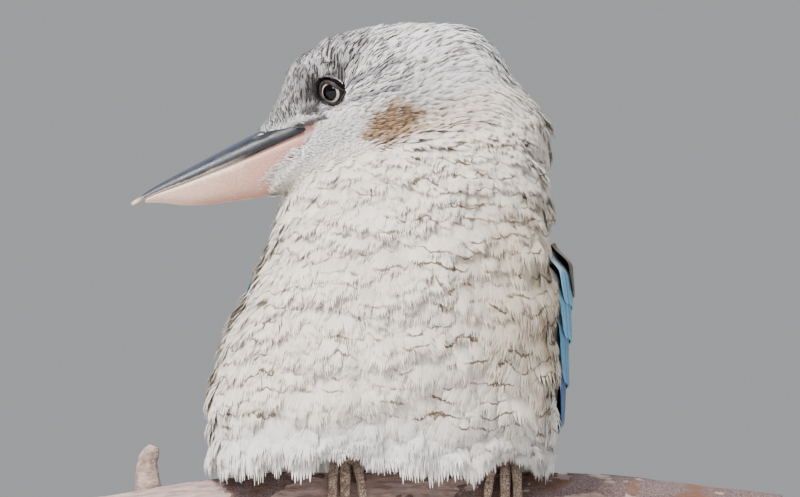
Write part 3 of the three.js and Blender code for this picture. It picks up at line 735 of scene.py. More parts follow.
class SkinFinish(Finish):
    """Bare scaly or leathery skin."""

    def __init__(self, name: str, colour: Array, dark: Array, scale: float, rough: float) -> None:
        """Builds the finish; scale is the number of scales in a metre."""
        super().__init__(name, Roughness=rough, IOR=1.45, Specular_IOR_Level=0.35)
        cells = self.node("ShaderNodeTexVoronoi", {"feature": "DISTANCE_TO_EDGE"},
                          {"Vector": self.place(), "Scale": scale}, 0)
        cloud = self.noise(self.place(), scale * 0.4, 3)
        crease = cells.ramp(0.02, 0.16)
        self.feed("Base Color", self.mix(crease * cloud.ramp(0.2, 0.6), dark, colour))
        self.bump(crease, 0.0003, 0.6)


class BarkFinish(Finish):
    """Weathered branch: bare pinkish wood, patches of flaking bark and brown ragged strips."""

    def __init__(self) -> None:
        """Builds the finish; the mesh says where bark is left."""
        super().__init__("branch_wood", IOR=1.45, Specular_IOR_Level=0.2)
        where = self.place()
        long = self.stretch(where, (0.22, 1.0, 1.0))
        grain = self.noise(long, 420, 6, 0.62)
        blotch = self.noise(where, 60, 4, 0.6)
        fine = self.noise(where, 1400, 4, 0.65)
        bark = self.number("Bark")
        wood = self.mix(grain.ramp(0.3, 0.7), linear("7f6a65"), linear("b8a29a"))
        wood = self.mix(blotch.ramp(0.5, 0.72) * 0.7, wood, linear("94858a"))
        rind = self.mix(fine.ramp(0.3, 0.7), linear("463a3c"), linear("83716f"))
        rind = self.mix(blotch.ramp(0.5, 0.66) * 0.8, rind, linear("6d4a38"))
        colour = self.mix((bark + (fine - 0.5) * 0.5).ramp(0.4, 0.6), wood, rind)
        cracks = self.noise(self.stretch(where, (0.3, 1.0, 1.0)), 800, 5, 0.7)
        colour = self.mix(cracks.ramp(0.36, 0.26), colour, linear("241a15"))
        self.feed("Base Color", colour)
        self.feed("Roughness", grain.ramp(0.2, 0.8, 0.68, 0.9))
        self.bump(grain + cracks * 0.7 + fine * 0.35, 0.0012, 0.8)


class StandFinish(Finish):
    """Plain matt paint with a fine orange-peel."""

    def __init__(self) -> None:
        """Builds the finish."""
        super().__init__("stand", Base_Color=tuple(linear("8b8a86")), IOR=1.5)
        fine = self.noise(self.place(), 1500, 2)
        self.feed("Roughness", fine.ramp(0.3, 0.7, 0.42, 0.52))
        self.bump(fine, 0.00005, 0.3)


# Plumage


@dataclass(frozen=True)
class Barbs:
    """A small feather's pattern: a fan of tapering locks of barbs.

    Attributes:
        locks: how many locks it has across.
        steps: quads along a lock.
        spread: how far the locks part at their tips, 1 for edge to edge.
        ragged: how unevenly they end.
        cup: how far the sides bend down, as a share of the half width.
    """

    locks: int
    steps: int
    spread: float = 1.0
    ragged: float = 0.12
    cup: float = 0.35


class Down(Enum):
    """Patterns of small feathers."""

    CONTOUR = Barbs(8, 4, 1.2, 0.24, 0.3)
    FACE = Barbs(3, 3, 0.9, 0.25, 0.2)
    CROWN = Barbs(3, 4, 0.85, 0.26, 0.3)
    FLUFF = Barbs(10, 4, 1.3, 0.34, 0.2)


@dataclass
class Plume:
    """Arrays that describe many small feathers, one row each."""

    root: Array
    middle: Array
    tip: Array
    normal: Array
    half: Array
    # tint is darkened at the root as painted shade between the feathers; tip_tint is a touch lighter
    tint: Array
    tip_tint: Array
    dark: Array
    bars: Array
    streak: Array
    bake: Array

    def pick(self, chosen: Array) -> "Plume":
        """Only the chosen feathers."""
        return Plume(*(getattr(self, f)[chosen] for f in self.__dataclass_fields__))


def build_plumes(name: str, plume: Plume, kind: Barbs, seed: int) -> bpy.types.Object:
    """Makes small feathers as one mesh.

    Args:
        name: the piece's name.
        plume: what each feather is like.
        kind: the pattern that they share.
        seed: for the uneven ends.

    Returns:
        The piece, with its maps and attributes.
    """
    rng = np.random.default_rng(seed)
    count = len(plume.root)
    steps = np.linspace(0, 1, kind.steps + 1)
    centre = (np.arange(kind.locks) + 0.5) / kind.locks * 2 - 1
    wide = np.interp(steps, [0, 0.35, 0.7, 1], [0.35, 0.85, 1.0, 0.95])
    own = np.interp(steps, [0, 0.6, 0.85, 1], [1.25, 1.15, 0.75, 0.12]) / kind.locks
    length = 1 - 0.3 * centre**2 * (1 if kind.locks > 1 else 0)
    length = length[None] * (1 - kind.ragged * rng.random((count, kind.locks)))
    t = steps[None, None] * length[..., None]  # feather, lock, step
    bend = 1 + (kind.spread - 1) * steps**2
    base_u = centre[:, None] * (wide * bend)[None] * 0.8
    u = base_u[..., None] + np.array([-1, 1]) * (own * wide)[None, :, None]  # lock, step, edge
    u = np.broadcast_to(u, (count, *u.shape))
    t = np.broadcast_to(t[..., None], u.shape)
    a, b, c = (getattr(plume, k)[:, None, None, None] for k in ("root", "middle", "tip"))
    w = t[..., None]
    along = a * (1 - w) ** 2 + 2 * b * w * (1 - w) + c * w**2
    way = unit(2 * (b - a) * (1 - w) + 2 * (c - b) * w)
    normal = plume.normal[:, None, None, None]
    side = unit(np.cross(way, normal))
    up = np.cross(side, way)
    half = plume.half[:, None, None, None]
    layer = (np.arange(kind.locks) % 2 * 0.09)[None, :, None, None]
    drop = layer - kind.cup * half * u**2 * 0.6 + 0.02
    places = along + side * (u * half)[..., None] + up * drop[..., None]
    rows = (kind.steps + 1) * 2
    each = kind.locks * rows
    lock = np.arange(kind.locks)[:, None] * rows + np.arange(kind.steps)[None] * 2
    pattern = np.stack([lock, lock + 1, lock + 3, lock + 2], -1).reshape(-1, 4)
    faces = (np.arange(count)[:, None, None] * each + pattern[None]).reshape(-1, 4)
    thing = mesh_object(name, places.reshape(-1, 3), faces)
    lie = np.stack([0.5 + 0.5 * np.clip(u, -1, 1), t], -1).reshape(-1, 2)
    add_uv(thing, "Lie", lie)
    add_uv(thing, "OFBake", np.repeat(plume.bake, each, 0) + (lie - 0.5) * 0.003)
    # each lock goes from the root's colour, darkened as painted shade between the feathers, to the tip's
    # colour
    fade = np.clip(t, 0, 1)[..., None] ** 1.5
    tint = plume.tint[:, None, None, None] * (1 - fade) + plume.tip_tint[:, None, None, None] * fade
    tint = tint * (1 + rng.normal(0, 0.035, (count, kind.locks, 1, 1, 1)))
    add_colour(thing, "Tint", np.clip(tint, 0, 1).reshape(-1, 3))
    add_colour(thing, "Dark", np.repeat(plume.dark, each, 0))
    add_number(thing, "Bars", np.repeat(plume.bars, each))
    add_number(thing, "Streak", np.repeat(plume.streak, each))
    return thing


@dataclass
class Markings:
    """Colours of the skin and coat by place."""

    white: Array = field(default_factory=lambda: linear("eeecee"))
    cream: Array = field(default_factory=lambda: linear("f3ebe1"))
    buff: Array = field(default_factory=lambda: linear("b8946e"))
    streak: Array = field(default_factory=lambda: linear("2a2422"))
    bar: Array = field(default_factory=lambda: linear("74614f"))
    mantle: Array = field(default_factory=lambda: linear("4a3a2f"))
    azure: Array = field(default_factory=lambda: linear("6db4dc"))
    olive: Array = field(default_factory=lambda: linear("b09a66"))

    def read(self, p: Array, head: Array) -> dict[str, Array]:
        """Reads the markings.

        Args:
            p: places on the skin, in millimetres.
            head: 1 on the head, 0 on the body.

        Returns:
            tint, dark colour, bars and streak for each place.
        """
        h = HeadFrame.from_world(p)
        a, b, c = h.T
        noise = wave_noise(p, 14, 3)
        fine = wave_noise(p, 4, 5)
        z = over_perch(p)
        behind = ramp((p - [-16, -4, 0]) @ Trunk.back_way + 3 * noise, 18, 27)
        one = np.ones((len(p), 1))
        body = self.cream * one

        def blend(colour: Array, other: Array, amount: Array) -> Array:
            """Colour, going to other by the amount."""
            return colour * (1 - amount[:, None]) + other * amount[:, None]

        body = blend(body, self.white, ramp(z, 36, 8) * 0.8)
        # painted shade: a greenish-brown cast over the right flank, the side away from the key light
        painted_flank_shade = ramp(p[:, 0] + 8 * noise, 0, 40) * ramp(z, 30, 60) * ramp(z, 132, 110)
        body = blend(body, self.olive, painted_flank_shade * 0.38)
        body = blend(body, linear("d9c3ae"), ramp(noise + fine * 0.6, 0.35, 0.9) * 0.25)
        rump = blend(self.mantle * one, self.azure, ramp(z, 78, 62))
        body = blend(body, rump, behind * ramp(z, 132, 118) * ramp(z, 8, 20))
        # crown, face and nape
        side = ramp(np.abs(b), 7, 14)
        face = self.white * one
        face = blend(face, self.cream, ramp(c, -8, -20) * 0.8)
        ear = ramp(np.hypot((a + 27.5) / 16, (c + 13.5) / 10.5) + 0.25 * fine, 1.15, 0.6) * side
        paler = ramp(np.hypot((a + 50) / 24, (c + 20) / 11) + 0.2 * fine, 1.2, 0.5) * side
        face = blend(face, linear("cdb49a"), paler * 0.45)
        face = blend(face, self.buff, ear * 0.9)
        # painted shade: a dark line under the ear patch, where the cheek's feathers overlap the breast's
        rim = ramp(np.abs(c + 16.5 - 0.46 * (a + 17)) + 0.5 * fine, 1.5, 0.5)
        rim = rim * ramp(a, -37, -30) * ramp(a, -11, -16) * side
        under = ramp(np.abs(c - 4.8 - 0.13 * np.minimum(a + 13, 0)) + 0.7 * fine, 1.9, 0.5)
        under = under * ramp(a, -44, -34) * ramp(a, 3, 1)
        upper = ramp(np.abs(c - 12.2) + 0.8 * fine, 2.4, 0.7) * ramp(a, -48, -38) * ramp(a, -14, -18)
        trail = np.maximum(under, upper) * side
        brow = ramp(np.abs(c - 15.6 + 0.23 * a) + 0.8 * fine, 3.4, 1.2) * ramp(a, -30, -20) * side
        brow = brow * ramp(a, 12, 4)
        lore = ramp(np.hypot((a - 3) / 5.5, (c - 7.4 - 0.2 * (a - 3)) / 2.6) + 0.15 * fine, 1.2, 0.6)
        da, dc = HeadFrame.from_eye(h)
        ahead = ramp(0.6 * da + 0.8 * dc, -2, 3)
        ring = ramp(np.hypot(da, dc), 10.5, 7.6) * ramp(np.abs(b), 7, 13) * ahead
        face = blend(face, self.streak, np.maximum(lore * 0.9, ring * 0.85))
        # rim here is painted shade under the ear patch
        face = blend(face, linear("5a504c"), np.maximum(brow * 0.5, rim * 0.6))
        face = blend(face, linear("7b7480"), trail * 0.75)
        before = ramp(np.hypot((a + 1) / 8, (c - 18) / 11) + 0.2 * fine, 1.15, 0.5) * ramp(np.abs(b), 7, 12)
        face = blend(face, linear("4a464c"), before * 0.55)
        gape = ramp(c - BillEdge.low(a), -1.2, 0.2) * ramp(a, -2, 1) * ramp(c, 3, 1) * side
        face = blend(face, linear("c98f80"), gape * 0.85)
        rim_line = ramp(np.abs(c - 1.7 - 0.1 * a), 1.5, 0.9) * ramp(a, -3, -1) * ramp(a, 16, 12) * side
        face = blend(face, linear("26282f"), rim_line * 0.9)
        # streaks run from the forehead up and back in fine lines
        crown = ramp(c + 0.27 * a, 8.5, 15)
        front = ramp(a, -44, -22)
        rising = HeadFrame.forehead_share(h)
        level = (np.abs(b) - 0.93 * a - 0.35 * c - 8) * rising
        level = level + np.arctan2(np.abs(b), c + 10) * 36 * (1 - rising) + 0.5 * noise
        stripe = 0.5 + 0.5 * np.sin(2 * math.pi * level / 2.3 + 0.5 * fine)
        streak = crown * (0.35 + 0.5 * front) + 0.45 * brow + 0.3 * trail + 0.5 * ring
        behind_eye = ramp(c, -2, 5) * ramp(a, -10, -20) * 0.28
        streak = np.maximum(streak, behind_eye) + 0.14 * ramp(a, -52, -76)
        streak = streak * (0.14 + 1.9 * stripe**2)
        streak = streak + 0.5 * ear * (0.3 + 0.7 * stripe)
        below = 0.1 * ramp(c, 4, -3) * (1 - ear)
        streak = np.maximum(streak, below) * (0.85 + 0.25 * fine)
        face = blend(face, linear("625f66"), crown * front * (0.36 + 0.5 * stripe))
        tint = blend(body, face, head)
        dark = blend(self.streak * one, linear("8b8380"), ramp(a, -28, -50) * 0.75)
        dark = blend(dark, linear("7a5a40"), ear * 0.8)
        dark = blend(self.bar * one, dark, head)
        dark = blend(dark, linear("20303c"), behind * (1 - head))
        flank = ramp(np.abs(Trunk.across(p)), 18, 52)
        bars = (0.35 + 0.65 * flank) * ramp(z, 12, 30)
        bars = bars * (1 - head) * (1 - behind)
        return {"tint": tint, "dark": dark, "bars": bars, "streak": np.clip(streak, 0, 1) * head}


class Skin:
    """One skin for the head, neck and torso, inside the solids by the coat's depth."""

    nodes = ("head", "neck", "torso")
    forehead = staticmethod(
        through([(6, 21.5), (10.6, 18.6), (14.9, 12.6), (18.9, 8.4), (24.5, 3.8), (30, -4), (35, -12)])
    )
    crown = staticmethod(
        through([(-100, -2), (-84, -4), (-68, -3.8), (-55, -2.7), (-42, -1.2), (-31, 1.4), (-20, 3.6),
                 (-10, 3.4), (0, 2), (10, 0)])
    )

    def __init__(self, frame: dict, depth: float = 1.4, grain: float = 1.7) -> None:
        """Builds the skin out of the solids.

        Args:
            frame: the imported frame.
            depth: how far inside the solids it lies, in millimetres.
            grain: how fine it is, in millimetres.
        """
        self.marks = Markings()
        work = bmesh.new()
        for node in (*self.nodes, "bill_upper", "bill_lower"):
            work.from_mesh(frame["nodes"][node].data)
        bmesh.ops.remove_doubles(work, verts=work.verts, dist=1e-6)
        self.piece = from_bmesh("skin", work)
        self._apply("REMESH", mode="VOXEL", voxel_size=grain * MM)
        self._apply("SMOOTH", factor=0.5, iterations=14)
        self._read()
        h = HeadFrame.from_world(self.places)
        a, c = h[:, 0], h[:, 2]
        # it covers the root of the bill above and below, and lies inside the horn elsewhere
        horn = ramp(c - BillEdge.low(a), -0.3, 0.5) * ramp(c - BillEdge.high(a), 0.3, -0.5)
        horn = np.maximum(horn * ramp(a, 1, 4), ramp(a, 25, 28) * ramp(c, -12, -9))
        by_bill = ramp(np.abs(h[:, 1]), 22, 18) * ramp(c, -34, -28)
        horn = horn * by_bill
        cover = ramp(a, -4, 4) * ramp(a, 40, 36) * (1 - horn) * by_bill * (0.8 + 0.2 * ramp(c, -8, -1))
        inset = depth * (1 - cover) - 0.7 * cover + 2.2 * horn
        self.places = self.places - self.normals * inset[:, None]
        past = np.maximum(HeadFrame.from_world(self.places)[:, 0] - 34, 0) * by_bill
        self.places = self.places - HeadFrame.forward * (0.96 * past)[:, None]
        self._shape_head()
        self.piece.data.vertices.foreach_set("co", (self.places * MM).astype(np.float32).ravel())
        self._apply("SMOOTH", factor=0.5, iterations=4)
        self._read()
        self.piece.data.polygons.foreach_set("use_smooth", np.full(len(self.triangles), True))
        self.tree = BVHTree.FromPolygons(
            [Vector(p) for p in self.places], [tuple(t) for t in self.polygons]
        )
        self.head_share = self._head_share(frame["nodes"]["head"])

    def _shape_head(self) -> None:
        """Flattens the forehead, raises the front of the crown and lowers its back."""
        a, b, c = HeadFrame.from_world(self.places).T
        middle = ramp(np.abs(b), 25, 12)
        over = self.forehead(c) - b**2 / 42
        back = np.maximum(a - over, 0) * ramp(c, 7.5, 11) * ramp(np.abs(b), 24, 19)
        rise = self.crown(a) * middle * ramp(c, 12, 25)
        forward = 3.6 * ramp(a, -74, -92) * ramp(c, -44, -16)
        move = HeadFrame.forward * (forward - 0.94 * back)[:, None] + HeadFrame.up * rise[:, None]
        self.places = self.places + move

    def _apply(self, kind: str, **settings: object) -> None:
        """Runs one modifier over the skin and keeps its result.

        Args:
            kind: the modifier's type.
            settings: its properties.
        """
        modifier = self.piece.modifiers.new("step", kind)
        for key, value in settings.items():
            setattr(modifier, key, value)
        graph = bpy.context.evaluated_depsgraph_get()
        result = bpy.data.meshes.new_from_object(self.piece.evaluated_get(graph))
        self.piece.modifiers.clear()
        self.piece.data = result

    def _read(self) -> None:
        """Reads the skin's arrays."""
        mesh = self.piece.data
        n = len(mesh.vertices)
        self.places = np.empty(n * 3, np.float32)
        self.normals = np.empty(n * 3, np.float32)
        mesh.vertices.foreach_get("co", self.places)
        mesh.vertices.foreach_get("normal", self.normals)
        self.places = self.places.reshape(-1, 3).astype(float) / MM
        self.normals = self.normals.reshape(-1, 3).astype(float)
        self.polygons = [tuple(p.vertices) for p in mesh.polygons]
        mesh.calc_loop_triangles()
        self.triangles = np.empty(len(mesh.loop_triangles) * 3, np.int32)
        mesh.loop_triangles.foreach_get("vertices", self.triangles)
        self.triangles = self.triangles.reshape(-1, 3)

    def _head_share(self, head: bpy.types.Object) -> Array:
        """How far each vertex belongs to the head, 0 to 1."""
        verts = [v.co / MM for v in head.data.vertices]
        tree = BVHTree.FromPolygons(verts, [tuple(p.vertices) for p in head.data.polygons])
        far = np.array([tree.find_nearest(Vector(p))[3] for p in self.places])
        return ramp(far, 9, 3.4)

    def bake(self, p: Array, head: Array) -> Array:
        """Unwraps the skin: the trunk round its axis below, the head round its own above.

        Args:
            p: places on the skin.
            head: 1 on the head, 0 on the body.

        Returns:
            A pair of map numbers for each place.
        """
        h = HeadFrame.from_world(p)
        trunk_u = Trunk.angle(p) / (2 * math.pi) + 0.5
        trunk_v = over_perch(p) / 165
        head_u = np.arctan2(h[:, 2] - 2, h[:, 1]) / (2 * math.pi) + 0.5
        head_v = (h[:, 0] + 100) / 140
        on_head = head > 0.5
        u = np.where(on_head, head_u, trunk_u)
        v = np.where(on_head, 0.62 + 0.36 * np.clip(head_v, 0, 1), 0.01 + 0.58 * np.clip(trunk_v, 0, 1))
        return np.stack([0.01 + 0.98 * u, v], -1)

    @staticmethod
    def chin_edge(h: Array) -> Array:
        """1 where the chin's feathers meet the bill, from places in the head's axes."""
        below = BillEdge.low(h[:, 0]) - h[:, 2]
        return ramp(below, 4.5, 1.5) * ramp(h[:, 0], 9, 15) * ramp(h[:, 2], -1, -5)

    def flow(self, p: Array, normal: Array, head: Array) -> Array:
        """The lie of the feathers.

        Args:
            p: places on the skin.
            normal: the skin's normals there.
            head: 1 on the head, 0 on the body.

        Returns:
            A way along the skin for each place.
        """
        f, u = HeadFrame.forward, HeadFrame.up
        h = HeadFrame.from_world(p)
        a, b, c = h.T
        down = np.array([0, 0, -1.0])
        body = down[None] + Trunk.left_way[None] * (Trunk.across(p) / 60 * 0.22)[:, None]
        body = body + np.array([0, 0.35, 0])[None] * ramp(p[:, 1], 10, 40)[:, None]
        on_head = -f[None] + u[None] * (0.12 * ramp(c, -14, 2) - 0.45 * ramp(c, 0, -18))[:, None]
        lift = HeadFrame.forehead_share(h)
        on_head = on_head * (1 - 0.65 * lift[:, None]) + u[None] * (0.93 * lift)[:, None]
        nape = ramp(a, -50, -84)
        on_head = on_head * (1 - nape[:, None] * 0.75) + down[None] * nape[:, None] * 0.75
        # the small feathers part round the eye
        da, dc = HeadFrame.from_eye(h)
        near = ramp(np.hypot(da, dc), 15, 7.5) * ramp(np.abs(b), 6, 14)
        around = f[None] * (da * 0.35)[:, None] + u[None] * (dc * 1.1)[:, None]
        on_head = on_head + around * (near * 0.08)[:, None]
        on_head = on_head * (1 - 1.9 * self.chin_edge(h))[:, None]
        way = body * (1 - head[:, None]) + on_head * head[:, None]
        way = way + 0.10 * np.stack([wave_noise(p, 9, s) for s in (11, 12, 13)], -1)
        return unit(way - normal * np.sum(way * normal, -1, keepdims=True))

    def scatter(self, spacing: Callable[[Array, Array], Array], seed: int) -> tuple[Array, Array, Array]:
        """Spreads feather roots over the skin.

        Args:
            spacing: the distance between roots, from places and head shares; 0 for no feathers.
            seed: for the draw.

        Returns:
            Places, normals and head shares of the roots.
        """
        rng = np.random.default_rng(seed)
        corners = self.places[self.triangles]
        cross = np.cross(corners[:, 1] - corners[:, 0], corners[:, 2] - corners[:, 0])
        area = np.linalg.norm(cross, axis=1) / 2
        share = self.head_share[self.triangles].mean(1)
        gap = spacing(corners.mean(1), share)
        weight = np.where(gap > 0, area / np.maximum(gap, 0.1) ** 2, 0)
        total = int(weight.sum() * 3.2)
        chosen = rng.choice(len(area), total, p=weight / weight.sum())
        r1, r2 = np.sqrt(rng.random(total)), rng.random(total)
        mix = np.stack([1 - r1, r1 * (1 - r2), r1 * r2], -1)[..., None]
        tri = self.triangles[chosen]
        p = (self.places[tri] * mix).sum(1)
        normal = unit((self.normals[tri] * mix).sum(1))
        head = (self.head_share[tri] * mix[..., 0]).sum(1)
        gap = gap[chosen]
        keep: list[int] = []
        cells: dict[tuple[int, int, int], list[int]] = {}
        size = float(gap.max())
        keys = np.floor(p / size).astype(int)
        near = [(i, j, k) for i in (-1, 0, 1) for j in (-1, 0, 1) for k in (-1, 0, 1)]
        for n in range(total):
            x, y, z = keys[n]
            limit = (gap[n] * 0.8) ** 2
            q = p[n]
            clear = True
            for i, j, k in near:
                for m in cells.get((x + i, y + j, z + k), ()):
                    d = p[m] - q
                    if d[0] * d[0] + d[1] * d[1] + d[2] * d[2] < limit:
                        clear = False
                        break
                if not clear:
                    break
            if clear:
                keep.append(n)
                cells.setdefault((x, y, z), []).append(n)
        return p[keep], normal[keep], head[keep]


@dataclass
class CoatRegion:
    """One kind of small feather over part of the skin.

    Attributes:
        name: the pieces' name.
        kind: the feathers' pattern.
        spacing: distance between roots by place and head share, 0 where none grow.
        length: their length by place and head share.
        slim: half width as a share of the length.
        lift: how high the tips stand off the skin, in millimetres.
        loose: how unevenly they lie.
        streaky: share of the feathers that carry a streak.
    """

    name: str
    kind: Down
    spacing: Callable[[Array, Array], Array]
    length: Callable[[Array, Array], Array]
    slim: float
    lift: float
    loose: float
    streaky: float = 1.0


class Coat:
    """The small feathers of the head, neck and body."""

    most_faces = 96000

    def __init__(self, skin: Skin, look: FeatherFinish) -> None:
        """Keeps the skin and the finish for the coat's pieces."""
        self.skin, self.look = skin, look

    @staticmethod
    def kept(p: Array) -> Array:
        """1 where feathers grow: off the eyes and the bill's root."""
        h = HeadFrame.from_world(p)
        a, b, c = h.T
        eye = np.hypot((a + 8) / 0.9, c - 11) < 6.3
        eye &= np.abs(b) > 8
        bill = (a > 0) & (c > BillEdge.low(a)) & (c < BillEdge.high(a))
        bill |= (a > 25) & (c > -11)
        bill |= (a > 33.5) & (c > -26)
        return ~(eye | bill)

    def regions(self) -> list[CoatRegion]:
        """The kinds of small feather, from the face to the belly."""

        def body_gap(p: Array, head: Array) -> Array:
            """Spacing on the body."""
            z = over_perch(p)
            gap = 2.35 + 0.5 * ramp(p[:, 1], 10, 30)
            return np.where((head < 0.55) & self.kept(p) & (z > 5), gap, 0)

        def head_gap(p: Array, head: Array) -> Array:
            """Spacing on the head away from the face."""
            h = HeadFrame.from_world(p)
            face = ramp(h[:, 0], -30, -8)
            return np.where((head >= 0.45) & self.kept(p) & (face < 0.9), 1.3 + 0.2 * (1 - face), 0)

        def face_gap(p: Array, head: Array) -> Array:
            """Spacing on the face."""
            h = HeadFrame.from_world(p)
            return np.where((head >= 0.45) & self.kept(p) & (h[:, 0] > -32), 0.82, 0)

        def head_length(p: Array, head: Array) -> Array:
            """Length on the head: longest on the hind crown and nape."""
            h = HeadFrame.from_world(p)
            return 6.5 + 6.0 * ramp(h[:, 0], -14, -66) + 2.0 * ramp(h[:, 2], 6, 20)

        def face_length(p: Array, head: Array) -> Array:
            """Length on the face: shortest at the bill and round the eye."""
            h = HeadFrame.from_world(p)
            near = np.hypot(*HeadFrame.from_eye(h))
            high = ramp(h[:, 2] + 0.27 * h[:, 0], 8, 16)
            grown = ramp(h[:, 0], 24 + 6 * high, -22 + 16 * high) * ramp(near, 6, 12)
            return 2.3 + (2.6 + 4.2 * high) * grown

        def body_length(p: Array, head: Array) -> Array:
            """Length on the body."""
            z = over_perch(p)
            return 13.5 - 2.5 * ramp(z, 90, 140) + 3.0 * ramp(z, 40, 10)

        def fluff_gap(p: Array, head: Array) -> Array:
            """Spacing of the loose belly feathers."""
            z = over_perch(p)
            return np.where((head < 0.2) & (z < 28) & (z > 5) & (p[:, 1] < 40), 2.7, 0)

        return [
            CoatRegion("coat_body", Down.CONTOUR, body_gap, body_length, 0.31, 2.6, 0.8, 0.75),
            CoatRegion("coat_belly", Down.FLUFF, fluff_gap, lambda p, h: 15 + 0 * h, 0.27, 3.4, 1.2),
            CoatRegion("coat_head", Down.CROWN, head_gap, head_length, 0.125, 2.4, 0.6, 0.85),
            CoatRegion("coat_face", Down.FACE, face_gap, face_length, 0.16, 1.1, 0.35, 0.9),
        ]

    def build(self) -> None:
        """Grows every region, in pieces of under 200,000 triangles."""
        for number, region in enumerate(self.regions()):
            plume = self._grow(region, 40 + number)
            quads = region.kind.value.locks * region.kind.value.steps
            pieces = math.ceil(len(plume.root) * quads / self.most_faces)
            order = np.argsort(plume.bake[:, 0], kind="stable")
            slot = "body_plumage" if region.name in ("coat_body", "coat_belly") else "head_plumage"
            for n, chosen in enumerate(np.array_split(order, pieces)):
                name = f"{region.name}_{n + 1}"
                thing = build_plumes(name, plume.pick(chosen), region.kind.value, 90 + n)
                finish_piece(thing, self.look, slot)

    def _grow(self, region: CoatRegion, seed: int) -> Plume:
        """Lays a region's feathers along the skin.

        Args:
            region: the kind of feather and where it grows.
            seed: for the draws.

        Returns:
            The feathers.
        """
        skin = self.skin
        rng = np.random.default_rng(seed)
        p, normal, head = skin.scatter(region.spacing, seed)
        seen = (normal[:, 2] > -0.72) | (head > 0.3)
        p, normal, head = p[seen], normal[seen], head[seen]
        n = len(p)
        length = region.length(p, head) * rng.uniform(0.85, 1.15, n)
        way = skin.flow(p, normal, head)
        side = np.cross(way, normal)
        tuft = wave_noise(p, 7, 21) * (1 - 0.6 * head)
        way = way + side * (0.45 * wave_noise(p, 12, 22) * (1 - 0.8 * head))[:, None]
        way = unit(way + side * rng.normal(0, 0.16 * region.loose, n)[:, None])
        rise = region.lift * (rng.uniform(0.7, 1.25, n) + (0.35 + 0.4 * (1 - head)) * tuft)
        rise = rise + region.loose * rng.normal(0, 0.35, n)
        z = over_perch(p)
        turn = np.degrees(Trunk.angle(p) - Trunk.spine)
        turn = np.abs((turn + 180) % 360 - 180)
        flank = ramp(turn, 82, 92) * ramp(turn, 122, 104) * ramp(z, 20, 36) * ramp(z, 118, 104)
        flank = flank * np.where(p[:, 0] > 0, 1, 0.3)
        rise = rise + 5 * flank * (1 - head) + 2.4 * skin.chin_edge(HeadFrame.from_world(p)) * head
        rise = rise + 1.3 * wave_noise(p, 17, 25) * (1 - head)
        length = length * (1 + 0.7 * flank * (1 - head))
        half_way, tip = np.empty_like(p), np.empty_like(p)
        for i in range(n):
            mid = skin.tree.find_nearest(Vector(p[i] + way[i] * length[i] * 0.5))
            end = skin.tree.find_nearest(Vector(p[i] + way[i] * length[i]))
            half_way[i] = mid[0] + mid[1] * rise[i] * 0.8
            tip[i] = end[0] + end[1] * rise[i]
        # the lowest feathers hang straight down, but not into the branch
        hang = (ramp(z, 30, 12) * (1 - head))[:, None]
        flat = unit(normal * [1, 1, 0] + 1e-6)
        reach = length * (0.98 + 0.2 * wave_noise(p, 9, 23) + rng.normal(0, 0.09, n))
        by_foot = ramp(np.abs(np.abs(p[:, 0] - 2.2) - 36.3), 17, 9) * ramp(p[:, 1], 8, -8)
        reach = reach * (1 - 0.34 * by_foot)
        fall = p + flat * (1.2 * rise)[:, None] - [0, 0, 1] * reach[:, None]
        fall = fall + 2.5 * side * wave_noise(p, 6, 24)[:, None]
        tip = tip * (1 - hang) + fall * hang
        half_way = half_way * (1 - hang) + ((p + fall) / 2 + flat * rise[:, None] * 0.6) * hang
        over = np.sqrt(np.maximum(PERCH_R**2 - tip[:, 1] ** 2, 0)) - PERCH_R + perch_rise(tip[:, 0])
        lowest = PERCH_TOP + np.where(np.abs(tip[:, 1]) < PERCH_R, over + 0.7, -9)
        tip[:, 2] = np.maximum(tip[:, 2], lowest)
        # the middle of the bend is a control point, so it lies beyond the place it bends to
        middle = 2 * half_way - (p + tip) / 2
        marks = skin.marks.read(p + way * (0.6 * length)[:, None], head)
        pale = marks["tint"] * (1 + rng.normal(0, 0.05, n))[:, None]
        streak = marks["streak"] * (rng.random(n) < region.streaky) * rng.uniform(0.7, 1.2, n)
        return Plume(
            root=p - normal * 0.4,
            middle=middle,
            tip=tip,
            normal=normal,
            half=length * region.slim * rng.uniform(0.85, 1.15, n),
            # painted shade: the roots are darkened where the feathers overlap; the tips are a touch lighter
            tint=np.clip(pale * 0.86, 0, 1),
            tip_tint=np.clip(pale * 1.04, 0, 1),
            dark=marks["dark"],
            bars=np.clip(marks["bars"] * rng.uniform(0.6, 1.15, n), 0, 1),
            streak=np.clip(streak, 0, 1),
            bake=skin.bake(p, head),
        )


@dataclass
class Quill:
    """One large feather.

    Attributes:
        path: gives places on it from shares along it, millimetres across it and a lift.
        length_rows: rows along it.
        half: half width in millimetres.
        pointed: 0 for a round tip, 1 for a pointed one.
        tilt: how much higher it lies on its far side, per millimetre.
        lift: its height over the bed.
        base: colour at the root.
        outer: colour of the outer vane.
        inner: colour of the inner vane.
        tip: colour of the tip.
        tip_share: how much of its length has the tip's colour.
        outer_side: on which side the outer vane is, 1 or -1.
    """

    path: Callable[[Array, Array, Array], Array]
    half: float
    pointed: float
    tilt: float
    lift: float
    base: Array
    outer: Array
    inner: Array
    tip: Array
    tip_share: float
    outer_side: int
    length_rows: int = 22


def quill_shape(s: Array, pointed: float) -> Array:
    """A large feather's half width along it, as a share of the most."""
    round_tip = np.interp(s, [0, 0.25, 0.6, 0.85, 0.93, 0.975, 1], [0.35, 0.85, 1, 0.93, 0.8, 0.55, 0.12])
    long_tip = np.interp(s, [0, 0.3, 0.6, 0.8, 0.92, 1], [0.4, 0.9, 1, 0.8, 0.5, 0.08])
    return round_tip * (1 - pointed) + long_tip * pointed


